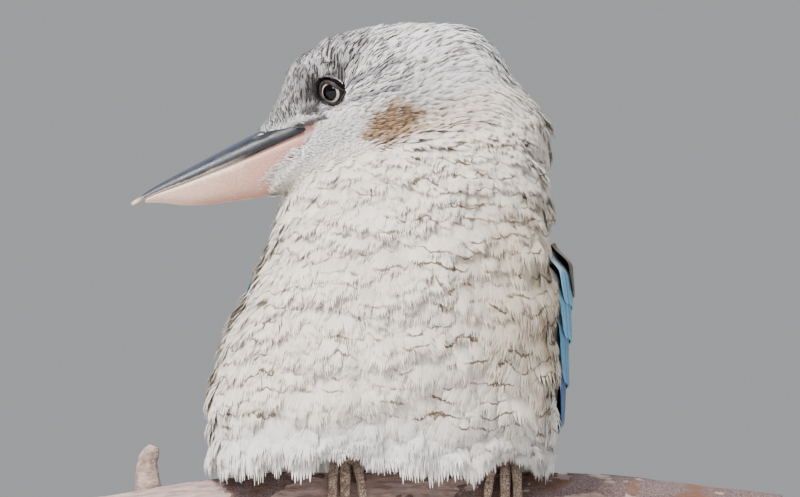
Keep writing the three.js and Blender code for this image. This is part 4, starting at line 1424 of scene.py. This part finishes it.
def build_quills(name: str, quills: Sequence[Quill], seed: int, columns: int = 10) -> bpy.types.Object:
    """Makes large feathers as one mesh, each with a raised shaft and a slightly ragged edge.

    Args:
        name: the piece's name.
        quills: the feathers.
        seed: for the ragged edges and the tints.
        columns: quads across each feather.

    Returns:
        The piece, with its maps and attributes.
    """
    rng = np.random.default_rng(seed)
    places, faces, lies, bakes, tints = [], [], [], [], []
    start = 0
    across = np.linspace(-1, 1, columns + 1)
    for number, quill in enumerate(quills):
        rows = quill.length_rows
        s = np.linspace(0, 1, rows + 1)
        s2, u = np.meshgrid(s, across, indexing="ij")
        # barbs slant towards the tip, so the outer edge runs ahead of the shaft
        slant = 0.035 * np.abs(u) * (1 - s2)
        reach = np.clip(s2 + slant, 0, 1)
        wide = quill_shape(reach, quill.pointed) * quill.half
        jag = 1 + rng.normal(0, 0.02, s2.shape) * (np.abs(u) > 0.99)
        shaft = 0.35 * np.exp(-((u / 0.07) ** 2)) * (1 - 0.7 * s2)
        dome = 0.9 * (1 - u**2) * (quill.half / 10)
        lift = quill.lift + quill.tilt * u * wide
        top = quill.path(reach, u * wide * jag, lift + shaft + dome)
        low = quill.path(reach, u * wide * jag, lift + dome - 0.22)
        n = (rows + 1) * (columns + 1)
        grid = grid_faces(rows + 1, columns + 1, False)
        left = np.arange(rows) * (columns + 1)
        left_next = left + columns + 1
        border = [np.stack([left, left_next, left_next + n, left + n], -1)]
        right, right_next = left + columns, left_next + columns
        border.append(np.stack([right, right + n, right_next + n, right_next], -1))
        end = rows * (columns + 1) + np.arange(columns)
        border.append(np.stack([end, end + 1, end + 1 + n, end + n], -1))
        first = np.arange(columns)
        border.append(np.stack([first, first + n, first + 1 + n, first + 1], -1))
        places += [top.reshape(-1, 3), low.reshape(-1, 3)]
        faces += [grid + start, grid[:, ::-1] + n + start, *(b + start for b in border)]
        start += 2 * n
        lie = np.stack([0.5 + 0.5 * u, reach], -1).reshape(-1, 2)
        spot = np.array([0.02 + 0.96 * (number + 0.5) / len(quills), 0.5])
        lies += [lie, lie]
        bakes += [spot + (lie - 0.5) * [0.9 / len(quills), 0.9]] * 2
        far = (u * quill.outer_side > 0).astype(float)[..., None]
        colour = quill.inner * (1 - far) + quill.outer * far
        root = ramp(reach, 0.55, 0.2)[..., None]
        colour = colour * (1 - root) + quill.base * root
        if quill.tip_share:
            edge = 1 - quill.tip_share * (1 + 0.25 * np.abs(u))
            tip = ramp(reach, 0, 0.02) * (reach > edge)
            colour = colour * (1 - tip[..., None]) + quill.tip * tip[..., None]
        rachis = np.exp(-((u / 0.06) ** 2))[..., None] * 0.7
        colour = colour * (1 - rachis) + linear("17120f") * rachis
        tints += [(colour * (1 + rng.normal(0, 0.05))).reshape(-1, 3)] * 2
    thing = mesh_object(name, np.concatenate(places), np.concatenate(faces))
    add_uv(thing, "Lie", np.concatenate(lies))
    add_uv(thing, "OFBake", np.concatenate(bakes))
    add_colour(thing, "Tint", np.clip(np.concatenate(tints), 0, 1))
    return thing


class QuillFinish(Finish):
    """Large feathers: tint from the mesh, with slanting barbs that catch the light."""

    def __init__(self, name: str) -> None:
        """Builds the finish."""
        super().__init__(name, Roughness=0.45, IOR=1.45, Sheen_Weight=0.15, Specular_IOR_Level=0.4)
        across, along, _ = self.map("Lie")
        off = (across - 0.5).size()
        barb = ((along * 120.0 - off * 60.0) * TURN).sine()
        split = self.noise(self.joined(along - off * 0.5, off * 0.3, 0.0), 24, 2)
        shade = barb.ramp(-1, 1, 0.9, 1.06) * split.ramp(0.3, 0.7, 0.8, 1.12)
        self.feed("Base Color", self.shaded(self.attribute("Tint"), shade))
        self.bump(barb + split * 0.6, 0.0001, 0.5)


@dataclass(frozen=True)
class Tier:
    """A row of feathers on a folded wing.

    Attributes:
        count: how many.
        root: angle from the spine and height over the branch at the row's two ends.
        tip: the same for the tips.
        half: half width.
        lift: height over the bed.
        pointed: how pointed the tips are.
        base: colour at the root.
        outer: colour of the outer vane.
        inner: colour of the inner vane.
        tip_colour: colour of the tip.
        tip_share: its share of the length.
    """

    count: int
    root: tuple[tuple[float, float], tuple[float, float]]
    tip: tuple[tuple[float, float], tuple[float, float]]
    half: float
    lift: float
    pointed: float
    base: str
    outer: str
    inner: str
    tip_colour: str = "000000"
    tip_share: float = 0.0


class Wing:
    """A folded wing: flight feathers and tiers of coverts, laid round the trunk."""

    tiers = (
        Tier(10, ((62, 62), (36, 68)), ((42, -8), (22, -40)), 7.0, 0.4, 0.85, "dfe3e6", "24303f", "1b1d22"),
        Tier(12, ((86, 66), (28, 70)), ((76, 18), (18, 2)), 7.4, 2.4, 0.25, "dfe3e6", "2c5f9d", "1f2731"),
        Tier(13, ((88, 80), (26, 84)), ((82, 40), (20, 32)), 6.8, 4.3, 0.1, "9fb7c6", "4f9fd2", "2c5c86"),
        Tier(13, ((90, 90), (25, 93)), ((85, 60), (20, 54)), 6.4, 5.9, 0.1, "a9bcc8", "62b2e0", "36749c"),
        Tier(13, ((90, 99), (24, 101)), ((86, 75), (20, 70)), 6.0, 7.1, 0.1, "8fa4b0", "6db8e2", "3b7ba4"),
        Tier(10, ((82, 103), (20, 106)), ((75, 80), (15, 72)), 7.0, 8.2, 0.1, "5d5046", "4b3c31", "3c3028"),
    )

    def __init__(self, name: str, side: int) -> None:
        """Keeps the wing's name and which side it is on, 1 for the left."""
        self.name, self.side = name, side

    def path(self, tier: Tier, k: float) -> Callable[[Array, Array, Array], Array]:
        """The surface that a tier's feather follows, k being its share along the row.

        Args:
            tier: the row.
            k: the feather's share along the row.

        Returns:
            A function that places a point from its share along, its distance across and its lift.
        """
        (r0, r1), (t0, t1) = tier.root, tier.tip
        root_turn, root_z = r0[0] + (r1[0] - r0[0]) * k, r0[1] + (r1[1] - r0[1]) * k
        tip_turn, tip_z = t0[0] + (t1[0] - t0[0]) * k, t0[1] + (t1[1] - t0[1]) * k
        side = self.side

        def place(s: Array, across: Array, lift: Array) -> Array:
            """The place at a share along the feather."""
            z = root_z + (tip_z - root_z) * s
            turn = root_turn + (tip_turn - root_turn) * s
            lift = lift - 0.85 * tier.lift * (1 - ramp(s, 0, 0.45))
            here = Trunk.wing_place(side, turn, z, lift)
            round_ = np.linalg.norm(Trunk.wing_place(side, turn + 4, z, lift) - here, axis=-1)
            return Trunk.wing_place(side, turn + across * 4 / round_, z, lift)

        return place

    def build(self, look: QuillFinish) -> None:
        """Makes the wing.

        Args:
            look: its finish.
        """
        rng = np.random.default_rng(5 if self.side > 0 else 6)
        quills = []
        for tier in self.tiers:
            for i in range(tier.count):
                quills.append(
                    Quill(
                        path=self.path(tier, i / (tier.count - 1)),
                        half=tier.half * rng.uniform(0.95, 1.05),
                        pointed=tier.pointed,
                        tilt=0.1,
                        lift=tier.lift + rng.normal(0, 0.08),
                        base=linear(tier.base),
                        outer=linear(tier.outer),
                        inner=linear(tier.inner),
                        tip=linear(tier.tip_colour),
                        tip_share=tier.tip_share,
                        outer_side=1,
                        length_rows=22 if tier.half > 6 else 14,
                    )
                )
        thing = build_quills(self.name + "_feathers", quills, 21)
        finish_piece(thing, look, "wing_plumage", self.name)


class Tail:
    """The tail: twelve overlapping feathers with coverts over and under their roots."""

    slope = math.radians(67)
    length = 124.0
    way = Trunk.back_way * math.cos(slope) + np.array([0, 0, -math.sin(slope)])
    up = np.cross(Trunk.left_way, way)

    def place(self, along: Array, across: Array, lift: Array) -> Array:
        """A place on the tail's surface."""
        root = Trunk.place(np.array(Trunk.spine), np.array(20.0), np.array(-7.0))
        rise = lift - 0.0006 * along**2 - 0.006 * across**2
        return (
            root
            + self.way * along[..., None]
            + Trunk.left_way * across[..., None]
            + self.up * rise[..., None]
        )

    def feather(self, start: float, long: float, root: float, spread: float) -> Callable:
        """The surface that one tail feather follows."""
        return lambda s, across, lift: self.place(start + s * long, root + spread * s + across, lift)

    def build(self, look: QuillFinish) -> None:
        """Makes the tail.

        Args:
            look: its finish.
        """
        quills = []
        for i in range(6):
            for side in (-1, 1):
                rank = 2 * i + (0 if side > 0 else 1)
                long, root, spread = self.length - 1.6 * i, side * (1 + 1.5 * i), side * (2 + 2.3 * i)
                quills.append(
                    Quill(
                        path=self.feather(2, long, root, spread),
                        half=10.5, pointed=0.05, tilt=0.0, lift=-rank * 1.15 + 0.6,
                        base=linear("9fb8cc"), outer=linear("2b4f8c"), inner=linear("203560"),
                        tip=linear("e6e4df"), tip_share=0.07, outer_side=side, length_rows=36,
                    )
                )
        for count, lift, long, colour in ((7, 1.6, 46, "62b2e0"), (7, -15.4, 52, "e4ddd0")):
            for i in range(count):
                k = 2 * i / (count - 1) - 1
                quills.append(
                    Quill(
                        path=self.feather(4, long - 9 * k * k, 9 * k, 3 * k),
                        half=5.6, pointed=0.1, tilt=0.16 if lift > 0 else -0.16, lift=lift,
                        base=linear(colour), outer=linear(colour), inner=linear(colour),
                        tip=linear(colour), tip_share=0.0, outer_side=1,
                    )
                )
        thing = build_quills("tail_feathers", quills, 31)
        finish_piece(thing, look, "tail_plumage", "tail")


# Bill, eyes, feet


class Bill:
    """The bill's two halves, in the head's axes."""

    root = -6.0
    width = staticmethod(
        through([(-6, 11.4), (0, 13.2), (10, 13.6), (23, 11.8), (50, 8), (75, 4.4), (88, 1.9), (92, 0.7)])
    )
    top = staticmethod(
        through([(-6, 5.5), (0, 6.2), (23, 7.2), (37, 6.2), (60, 3.9), (80, 1.6), (92, -0.9)])
    )
    line = staticmethod(
        through([(-6, 0.4), (0, 0), (23, -0.8), (46, -1.6), (70, -1.6), (82, -1.4), (92, -2.4)])
    )
    bottom = staticmethod(
        through([(-6, -11), (0, -15), (15, -19), (33, -20.4), (47, -17.8), (67, -12), (80, -5.4),
                 (86, -3)])
    )
    stations = 72
    arc = 28

    def half(self, upper: bool) -> tuple[Array, Array]:
        """Rings of one half and their Lie map.

        Args:
            upper: whether it is the upper half.

        Returns:
            The rings, and two map numbers for each of their points.
        """
        end = BILL_LENGTH if upper else BILL_LENGTH * 0.94 - 0.6
        a = np.linspace(self.root, end, self.stations)
        t = np.linspace(0, math.pi, self.arc)
        line = self.line(a) + (0.18 if upper else -0.18)
        wide = self.width(a) * (1 if upper else 0.93)
        tall = (self.top(a) - self.line(a)) if upper else (self.line(a) - self.bottom(a))
        tall = np.maximum(tall, 0.5) * (1 if upper else -1)
        rise = np.sin(t) ** (0.8 if upper else 0.72)
        out = np.sign(np.cos(t)) * np.abs(np.cos(t)) ** (0.95 if upper else 0.9)
        ring_b = wide[:, None] * out[None]
        ring_c = line[:, None] + tall[:, None] * rise[None]
        lie = together(a[:, None] / BILL_LENGTH, t / math.pi)
        return together(a[:, None], ring_b, ring_c), lie

    def nostril(self, points: Array) -> Array:
        """Sinks the two nostrils into the upper half."""
        a, b, c = (points[..., k] for k in range(3))
        near = np.hypot((a - 27) / 3.4, (c - 5.2 - (a - 27) * 0.05) / 1.15)
        depth = 1.7 * ramp(near, 1.25, 0.35) * (np.abs(b) > 2.5)
        inward = np.stack([np.zeros_like(b), -np.sign(b) * depth, np.zeros_like(b)], -1)
        return points + inward

    def build(self, dark: Finish, pale: Finish) -> None:
        """Makes both halves.

        Args:
            dark: the upper half's finish.
            pale: the lower half's finish.
        """
        for name, upper, look, slot in (
            ("bill_upper", True, dark, "bill_dark"),
            ("bill_lower", False, pale, "bill_pale"),
        ):
            rings, lie = self.half(upper)
            if upper:
                rings = self.nostril(rings)
            first, last = end_rings(rings)
            rings = np.concatenate([first, rings, last])
            lie = np.concatenate([lie[:1], lie, lie[-1:]])
            places = HeadFrame.to_world(rings.reshape(-1, 3))
            thing = mesh_object(name + "_horn", places, grid_faces(len(rings), self.arc, True))
            add_uv(thing, "Lie", lie.reshape(-1, 2))
            outward(thing)
            finish_piece(thing, look, slot, name)


class Eye:
    """An eye with its lids."""

    radius = 7.8
    opening = np.array([HeadFrame.eye[0], 20.3, HeadFrame.eye[1]])
    axis = unit(np.array([0.72, 0.69, 0.05]))
    opening_radius = 5.4

    def __init__(self, name: str, side: int) -> None:
        """Keeps the eye's name and side, 1 for the left, and works out its middle."""
        self.name, self.side = name, side
        flip = np.array([1, side, 1])
        self.out = self.axis * flip
        depth = math.sqrt(self.radius**2 - self.opening_radius**2)
        self.centre = self.opening * flip - self.out * depth
        self.up = unit(np.array([0, 0, 1.0]) - self.out * self.out[2])
        self.ahead = np.cross(self.up, self.out) * side

    def build(self, look: Finish, lid_look: Finish) -> None:
        """Makes the eyeball and the lids.

        Args:
            look: the ball's finish.
            lid_look: the lids' finish.
        """
        rows, sides = 40, 64
        tilt = np.linspace(0.001, math.pi - 0.001, rows)
        angle = np.linspace(0, 2 * math.pi, sides, endpoint=False)
        bulge = 1 + 0.035 * ramp(tilt, 0.75, 0.3)
        ring = self.radius * bulge * np.sin(tilt)
        high = self.radius * bulge * np.cos(tilt)
        points = (
            self.centre
            + self.out * high[:, None, None]
            + self.ahead * (ring[:, None] * np.cos(angle))[..., None]
            + self.up * (ring[:, None] * np.sin(angle))[..., None]
        )
        lie = together((tilt / 0.7)[:, None], angle / (2 * math.pi))
        thing = mesh_object(
            self.name + "_ball", HeadFrame.to_world(points.reshape(-1, 3)), grid_faces(rows, sides, True)
        )
        add_uv(thing, "Lie", lie.reshape(-1, 2))
        outward(thing)
        finish_piece(thing, look, "eye", self.name)
        self._lids(lid_look)

    def _lids(self, look: Finish) -> None:
        """A folded rim of bare skin round the eye.

        Args:
            look: its finish.
        """
        sides, turns = 14, 72
        t = np.linspace(0, 2 * math.pi, turns, endpoint=False)
        # drawn out at the corners, the front one lower and longer
        reach = 1 + 0.1 * np.abs(np.cos(t)) ** 6 + 0.28 * np.maximum(np.cos(t), 0) ** 14
        a = 4.4 * np.cos(t) * reach
        c = np.where(np.sin(t) > 0, 4.5, 5.1) * np.sin(t) - 0.32 * a
        rise = np.sqrt(np.maximum(self.radius**2 - a * a - c * c, 4))
        out = unit(self.ahead * a[:, None] + self.up * c[:, None])
        thick = 0.62 + 0.3 * ramp(np.sin(t), -0.2, 0.9)
        middle = (
            self.centre
            + self.ahead * a[:, None]
            + self.up * c[:, None]
            + self.out * (rise + 0.1)[:, None]
            + out * (thick * 0.55)[:, None]
        )
        u = np.linspace(0, 2 * math.pi, sides, endpoint=False)
        fold = 1 + 0.12 * np.cos(3 * u)
        rings = (
            middle[:, None]
            + out[:, None] * (np.cos(u) * fold * thick[:, None])[..., None]
            + self.out * (np.sin(u) * fold * thick[:, None])[..., None]
        )
        faces = grid_faces(turns, sides, True)
        last = (turns - 1) * sides
        j = np.arange(sides)
        close = np.stack([last + j, last + (j + 1) % sides, (j + 1) % sides, j], -1)
        thing = mesh_object(
            self.name + "_lids",
            HeadFrame.to_world(rings.reshape(-1, 3)),
            np.concatenate([faces, close]),
        )
        outward(thing)
        finish_piece(thing, look, "head_plumage")


def perch_rise(x: Array) -> Array:
    """How far the branch's middle line is off its highest level."""
    t = np.abs(x) / PERCH_HALF
    return -9.5 * ramp(t, 0.38, 1.15) * 1.2 - 0.8 * ramp(t, 0.3, 0.8) * (x > 0)


def round_perch(x: Array, arc: Array, off: Array) -> Array:
    """A place by the branch.

    Args:
        x: how far along it.
        arc: how far round it, from the top towards the viewer.
        off: how far off it.

    Returns:
        The place, in millimetres.
    """
    around, reach = arc / PERCH_R, PERCH_R + off
    middle = PERCH_TOP - PERCH_R + perch_rise(x)
    return together(x, -reach * np.sin(around), middle + reach * np.cos(around))


@dataclass(frozen=True)
class Toe:
    """A toe: where it starts across the foot, how far it splays, its length and its thickness."""

    name: str
    across: float
    splay: float
    long: float
    thick: float

    @property
    def start(self) -> float:
        """Where it starts round the branch: in front, or behind for the hind toe."""
        return 2 if self.long > 0 else -4


class Foot:
    """A foot that grips the branch, with its leg and claws."""

    toe_r = 2.5
    toes = (
        Toe("inner", -4.6, -5, 22, 0.88),
        Toe("middle", 0, -0.4, 31, 1),
        Toe("outer", 4.7, 2.0, 27, 0.95),
        Toe("hind", -1, -2, -18, 1),
    )

    def __init__(self, name: str, x: float, side: int) -> None:
        """Keeps the foot's name, its place along the branch and its side."""
        self.name, self.x, self.side = name, x, side

    def toe_path(self, toe: Toe, s: Array, off: Array) -> Array:
        """Places along a toe's middle."""
        x = self.x + self.side * (toe.across * (1 - 0.25 * np.abs(s)) + toe.splay * s)
        return round_perch(x, toe.start + toe.long * s, self.toe_r * toe.thick + 0.35 + off)

    def build(self, skin_look: Finish, claw_look: Finish) -> None:
        """Makes the foot, leg and claws.

        Args:
            skin_look: finish of the skin.
            claw_look: finish of the claws.
        """
        parts = []
        for toe in self.toes:
            s = np.linspace(0, 1, 46)
            path = self.toe_path(toe, s, 0.7 * np.sin(math.pi * s))
            path = smooth_path(np.concatenate([[[self.x, 1.5, PERCH_TOP + 4.6]], path]), 64)
            t = np.linspace(0, 1, 64)
            scutes = 1 + 0.035 * np.abs(np.sin(t * math.pi * abs(toe.long) / 2.1)) ** 0.6
            knuckle = 1 + 0.1 * np.sin(t * math.pi * 3) ** 2
            radii = self.toe_r * toe.thick * (1 - 0.24 * t) * knuckle * scutes
            parts.append((tube_rings(path, radii, 18, lambda g: 1 - 0.08 * np.cos(g) ** 2), toe))
        things = [swept(f"foot_{self.name}_{toe.name}", rings) for rings, toe in parts]
        palm = self._palm()
        thing = join_objects(f"foot_{self.name}_skin", [*things, palm])
        finish_piece(thing, skin_look, "leg_skin", "foot_" + self.name)
        self._leg(skin_look)
        for toe in self.toes:
            self._claw(toe, claw_look)

    def _palm(self) -> bpy.types.Object:
        """The joint where the toes meet."""
        work = bmesh.new()
        bmesh.ops.create_uvsphere(work, u_segments=32, v_segments=20, radius=1)
        place = Matrix.Translation(Vector((self.x, 0.5, PERCH_TOP + 4.4)) * MM)
        size = Matrix.Diagonal((7 * MM, 6.5 * MM, 3.6 * MM, 1))
        bmesh.ops.transform(work, matrix=place @ size, verts=work.verts)
        thing = from_bmesh("palm", work)
        faces = thing.data.polygons
        faces.foreach_set("use_smooth", np.full(len(faces), True))
        return thing

    def _leg(self, look: Finish) -> None:
        """The short scaly leg above the foot.

        Args:
            look: its finish.
        """
        points = np.array(
            [
                [self.x * 0.97, 15, PERCH_TOP + 19],
                [self.x * 0.985, 9, PERCH_TOP + 13.5],
                [self.x, 3.2, PERCH_TOP + 8.2],
            ]
        )
        path = smooth_path(points, 40)
        t = np.linspace(0, 1, 40)
        radii = np.interp(t, [0, 0.5, 1], [4.2, 3.7, 3.5]) * (1 + 0.03 * np.abs(np.sin(t * 22)))
        thing = swept(f"leg_{self.name}_skin", tube_rings(path, radii, 22, lambda g: 1 + 0 * g))
        finish_piece(thing, look, "leg_skin", "leg_" + self.name)

    def _claw(self, toe: Toe, look: Finish) -> None:
        """A curved, tapering claw.

        Args:
            toe: the toe that it ends.
            look: its finish.
        """
        along = 1 if toe.long > 0 else -1
        x = self.x + self.side * (toe.across * 0.75 + toe.splay)
        arc = toe.start + toe.long + along * np.array([0.4, 4.2, 7.8, 10.6])
        off = np.array([self.toe_r * toe.thick + 0.35, 2.9, 2.1, 0.75])
        path = smooth_path(round_perch(x, arc, off), 30)
        radii = np.interp(np.linspace(0, 1, 30), [0, 0.3, 0.7, 1], [1.75, 1.55, 0.95, 0.18])
        rings = tube_rings(path, radii, 16, lambda g: 1 - 0.15 * np.abs(np.sin(g)))
        name = f"claw_{self.name}_{toe.name}"
        thing = swept(name + "_horn", rings)
        finish_piece(thing, look, "claw", name)


def join_objects(name: str, things: Sequence[bpy.types.Object]) -> bpy.types.Object:
    """Joins objects into one mesh and removes them.

    Args:
        name: the joined piece's name.
        things: the objects.

    Returns:
        The joined piece.
    """
    work = bmesh.new()
    for thing in things:
        work.from_mesh(thing.data)
        bpy.data.objects.remove(thing)
    return from_bmesh(name, work)


# Branch and stand


class Perch:
    """The cut length of branch."""

    knots = ((-118, 1.9, 5.0, 9), (96, 0.9, 2.4, 14), (-66, 3.6, 3.0, 12), (142, 4.4, 3.2, 12))

    def build(self, look: Finish) -> None:
        """Makes the branch with its relief of bark.

        Args:
            look: its finish.
        """
        rows, sides = 420, 150
        x = np.linspace(-PERCH_HALF, PERCH_HALF, rows)[:, None]
        t = np.linspace(0, 2 * math.pi, sides, endpoint=False)[None]
        taper = (0.93 + 0.07 * ramp(x, -PERCH_HALF, -60)) * (1 + 0.05 * ramp(x, 60, PERCH_HALF))
        under = 0.5 - 0.5 * np.cos(t)
        free = np.maximum(under, ramp(np.abs(x), 58, 90))
        r = PERCH_R * taper - free * (0.5 + 0.5 * np.sin(3 * t + 0.031 * x) * np.cos(0.045 * x + t))
        for at, angle, size, wide in self.knots:
            d = np.hypot(x - at, PERCH_R * np.sin((t - angle) / 2) * 2) / wide
            r = r + size * np.exp(-d * d) * np.maximum(free, 0.2)
        spot = together(x * 0.45, 22 * np.cos(t), 22 * np.sin(t))
        patch = wave_noise(spot, 17, 71) + 0.55 * wave_noise(spot, 6, 72) + 0.25 * wave_noise(spot, 2.6, 73)
        bark = ramp(patch, 0.02, 0.14)
        keep_off = np.maximum(ramp(np.abs(np.abs(x) - 36), 8, 20), ramp(np.cos(t), 0.2, -0.3))
        ridge = wave_noise(together(x * 0.2, 20 * np.cos(t), 20 * np.sin(t)), 3.2, 74)
        r = r + (bark * (0.75 + 0.25 * ridge) - 0.5) * 0.9 * (0.15 + 0.85 * keep_off) - 0.25 + 0.12 * ridge
        z = PERCH_TOP - PERCH_R + perch_rise(x) + r * np.cos(t)
        rings = together(x, r * np.sin(t), z)
        first, last = end_rings(rings)
        rims = first * 0.25 + rings[:1] * 0.75, last * 0.25 + rings[-1:] * 0.75
        full = np.concatenate([first, rims[0], rings, rims[1], last])
        values = np.concatenate([np.zeros((2, sides)), bark, np.zeros((2, sides))])
        thing = mesh_object("branch", full.reshape(-1, 3), grid_faces(len(full), sides, True))
        add_number(thing, "Bark", values)
        outward(thing)
        finish_piece(thing, look, "branch_wood", "perch_branch")
        self._stub(look)

    def _stub(self, look: Finish) -> None:
        """A short broken twig near one end.

        Args:
            look: its finish.
        """
        points = np.array(
            [[-122, 6, PERCH_TOP - 18], [-124, 8, PERCH_TOP + 4], [-121, 9, PERCH_TOP + 11.5]]
        )
        path = smooth_path(points, 40)
        t = np.linspace(0, 1, 40)
        radii = np.interp(t, [0, 0.5, 0.9, 1], [7.2, 5.4, 3.9, 2.6])
        shape = lambda g: 1 + 0.06 * np.sin(3 * g) + 0.04 * np.sin(7 * g + 1)
        finish_piece(swept("branch_twig", tube_rings(path, radii, 40, shape)), look, "branch_wood")


class Stand:
    """The oval base and the two rods under the branch."""

    long, wide, thick = 118.0, 80.0, 13.0
    rod_x, rod_r, into = 62.0, 4.5, 9.0

    def build(self, look: Finish) -> None:
        """Makes the stand's pieces.

        Args:
            look: their finish.
        """
        work = bmesh.new()
        made = bmesh.ops.create_circle(work, cap_ends=True, segments=160, radius=1)
        bmesh.ops.transform(work, matrix=Matrix.Diagonal((self.long * MM, self.wide * MM, 1, 1)),
                            verts=made["verts"])
        up = bmesh.ops.extrude_face_region(work, geom=list(work.faces))
        tops = [g for g in up["geom"] if isinstance(g, bmesh.types.BMVert)]
        bmesh.ops.translate(work, vec=(0, 0, self.thick * MM), verts=tops)
        rim = [e for e in work.edges if all(v in tops for v in e.verts)]
        bmesh.ops.bevel(work, geom=rim, offset=2.2 * MM, segments=6, profile=0.5, affect="EDGES",
                        material=-1)
        bmesh.ops.recalc_face_normals(work, faces=work.faces)
        finish_piece(from_bmesh("base_plate", work), look, "stand", "stand_base")
        for name, x in (("right", -self.rod_x), ("left", self.rod_x)):
            top = PERCH_TOP - 2 * PERCH_R + float(perch_rise(np.array(x))) + self.into - 1
            path = np.array([[x, 0, z] for z in np.linspace(self.thick - 4, top, 4)])
            rings = tube_rings(path, np.full(4, self.rod_r), 40, lambda g: 1 + 0 * g)
            finish_piece(swept("rod_" + name, rings), look, "stand", "stand_rod_" + name)


# Studio


class Studio:
    """Floor, lights and camera."""

    target = Vector((-9.1, 0, PERCH_TOP + 101.6)) * MM
    distance = 2.2
    width = 0.364

    def build(self) -> None:
        """Makes the floor, the lights and the camera."""
        floor_look = Finish("floor", Base_Color=(0.62, 0.61, 0.59), Roughness=0.9, Specular_IOR_Level=0.1)
        work = bmesh.new()
        bmesh.ops.create_grid(work, x_segments=1, y_segments=1, size=6)
        floor = from_bmesh("floor", work)
        floor.location.z = -0.0002
        floor.data.materials.append(floor_look.material)
        floor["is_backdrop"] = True
        world = bpy.data.worlds.new("studio")
        world.use_nodes = True
        background = world.node_tree.nodes["Background"]
        background.inputs[0].default_value = (0.92, 0.93, 0.95, 1)
        background.inputs[1].default_value = 0.42
        bpy.context.scene.world = world
        self._light("key", (-1.1, -1.3, 1.9), 0.5, 134, (1.0, 0.965, 0.92))
        self._light("fill", (-0.85, -1.75, 0.95), 0.42, 16, (0.97, 0.98, 1.0))
        self._light("top", (0.2, 0.5, 1.9), 0.9, 30, (1.0, 1.0, 1.0))
        self._camera()

    def _light(self, name: str, at: tuple, size: float, power: float, colour: tuple) -> None:
        """Adds a square soft light aimed at the bird.

        Args:
            name: the light's name.
            at: where it is, in metres.
            size: its width, in metres.
            power: its power, in watts.
            colour: its colour.
        """
        data = bpy.data.lights.new(name, "AREA")
        data.size, data.energy, data.color = size, power, colour
        lamp = link(name, data)
        lamp.location = at
        lamp.rotation_euler = (self.target - Vector(at)).to_track_quat("-Z", "Y").to_euler()

    def _camera(self) -> None:
        """Adds the camera, a little below the bird's middle and looking up at it."""
        tilt = math.radians(3)
        data = bpy.data.cameras.new("main")
        data.sensor_width = 36
        data.lens = 36 * self.distance / self.width
        camera = link("main", data)
        camera.location = self.target + Vector((0, -math.cos(tilt), -math.sin(tilt))) * self.distance
        camera.rotation_euler = (self.target - camera.location).to_track_quat("-Z", "Y").to_euler()
        bpy.context.scene.camera = camera


def main() -> None:
    """Builds the model in order."""
    logging.basicConfig(level=logging.INFO, format="%(message)s")
    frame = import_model()
    feathers = FeatherFinish("feathers")
    quills = QuillFinish("quills")
    horn_dark = BillFinish(
        # its fourth colour, a bluish grey, is a painted highlight along the ridge
        "bill_dark", linear("1e2129"), linear("2c313c"), linear("c9b49a"), linear("3a4252"), 0.34
    )
    horn_pale = BillFinish(
        # its fourth colour, a darker salmon, is painted shade along the underside
        "bill_pale", linear("c6988a"), linear("d8b7a4"), linear("e2cfb4"), linear("a87868"), 0.36
    )
    scales = SkinFinish("leg_skin", linear("c9b5a4"), linear("75645a"), 700, 0.5)
    lid_skin = SkinFinish("lid_skin", linear("3a3130"), linear("120f0f"), 1500, 0.42)
    claw_horn = SkinFinish("claw", linear("25211f"), linear("151211"), 300, 0.3)
    bark = BarkFinish()
    paint = StandFinish()

    skin = Skin(frame)
    marks = skin.marks.read(skin.places, skin.head_share)
    # painted shade: the skin shows only in gaps of the coat, so it gets the plumage colour darkened
    add_colour(skin.piece, "Tint", np.clip(marks["tint"] * 0.8, 0, 1))
    add_colour(skin.piece, "Dark", marks["dark"])
    add_uv(skin.piece, "Lie", np.full((len(skin.places), 2), 0.5))
    add_uv(skin.piece, "OFBake", skin.bake(skin.places, skin.head_share))
    finish_piece(skin.piece, feathers, "body_plumage", *Skin.nodes)
    Coat(skin, feathers).build()
    for name, side in (("wing_left", 1), ("wing_right", -1)):
        Wing(name, side).build(quills)
    Tail().build(quills)
    Bill().build(horn_dark, horn_pale)
    eye_look = EyeFinish()
    for name, side in (("eye_left", 1), ("eye_right", -1)):
        Eye(name, side).build(eye_look, lid_skin)
    Foot("right", -34, -1).build(scales, claw_horn)
    Foot("left", 38.5, 1).build(scales, claw_horn)
    Perch().build(bark)
    Stand().build(paint)
    Studio().build()
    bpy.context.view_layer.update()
    total = sum(len(o.data.polygons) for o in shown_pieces() if o.type == "MESH")
    LOG.info("in all %d faces", total)


if __name__ == "__main__":
    main()
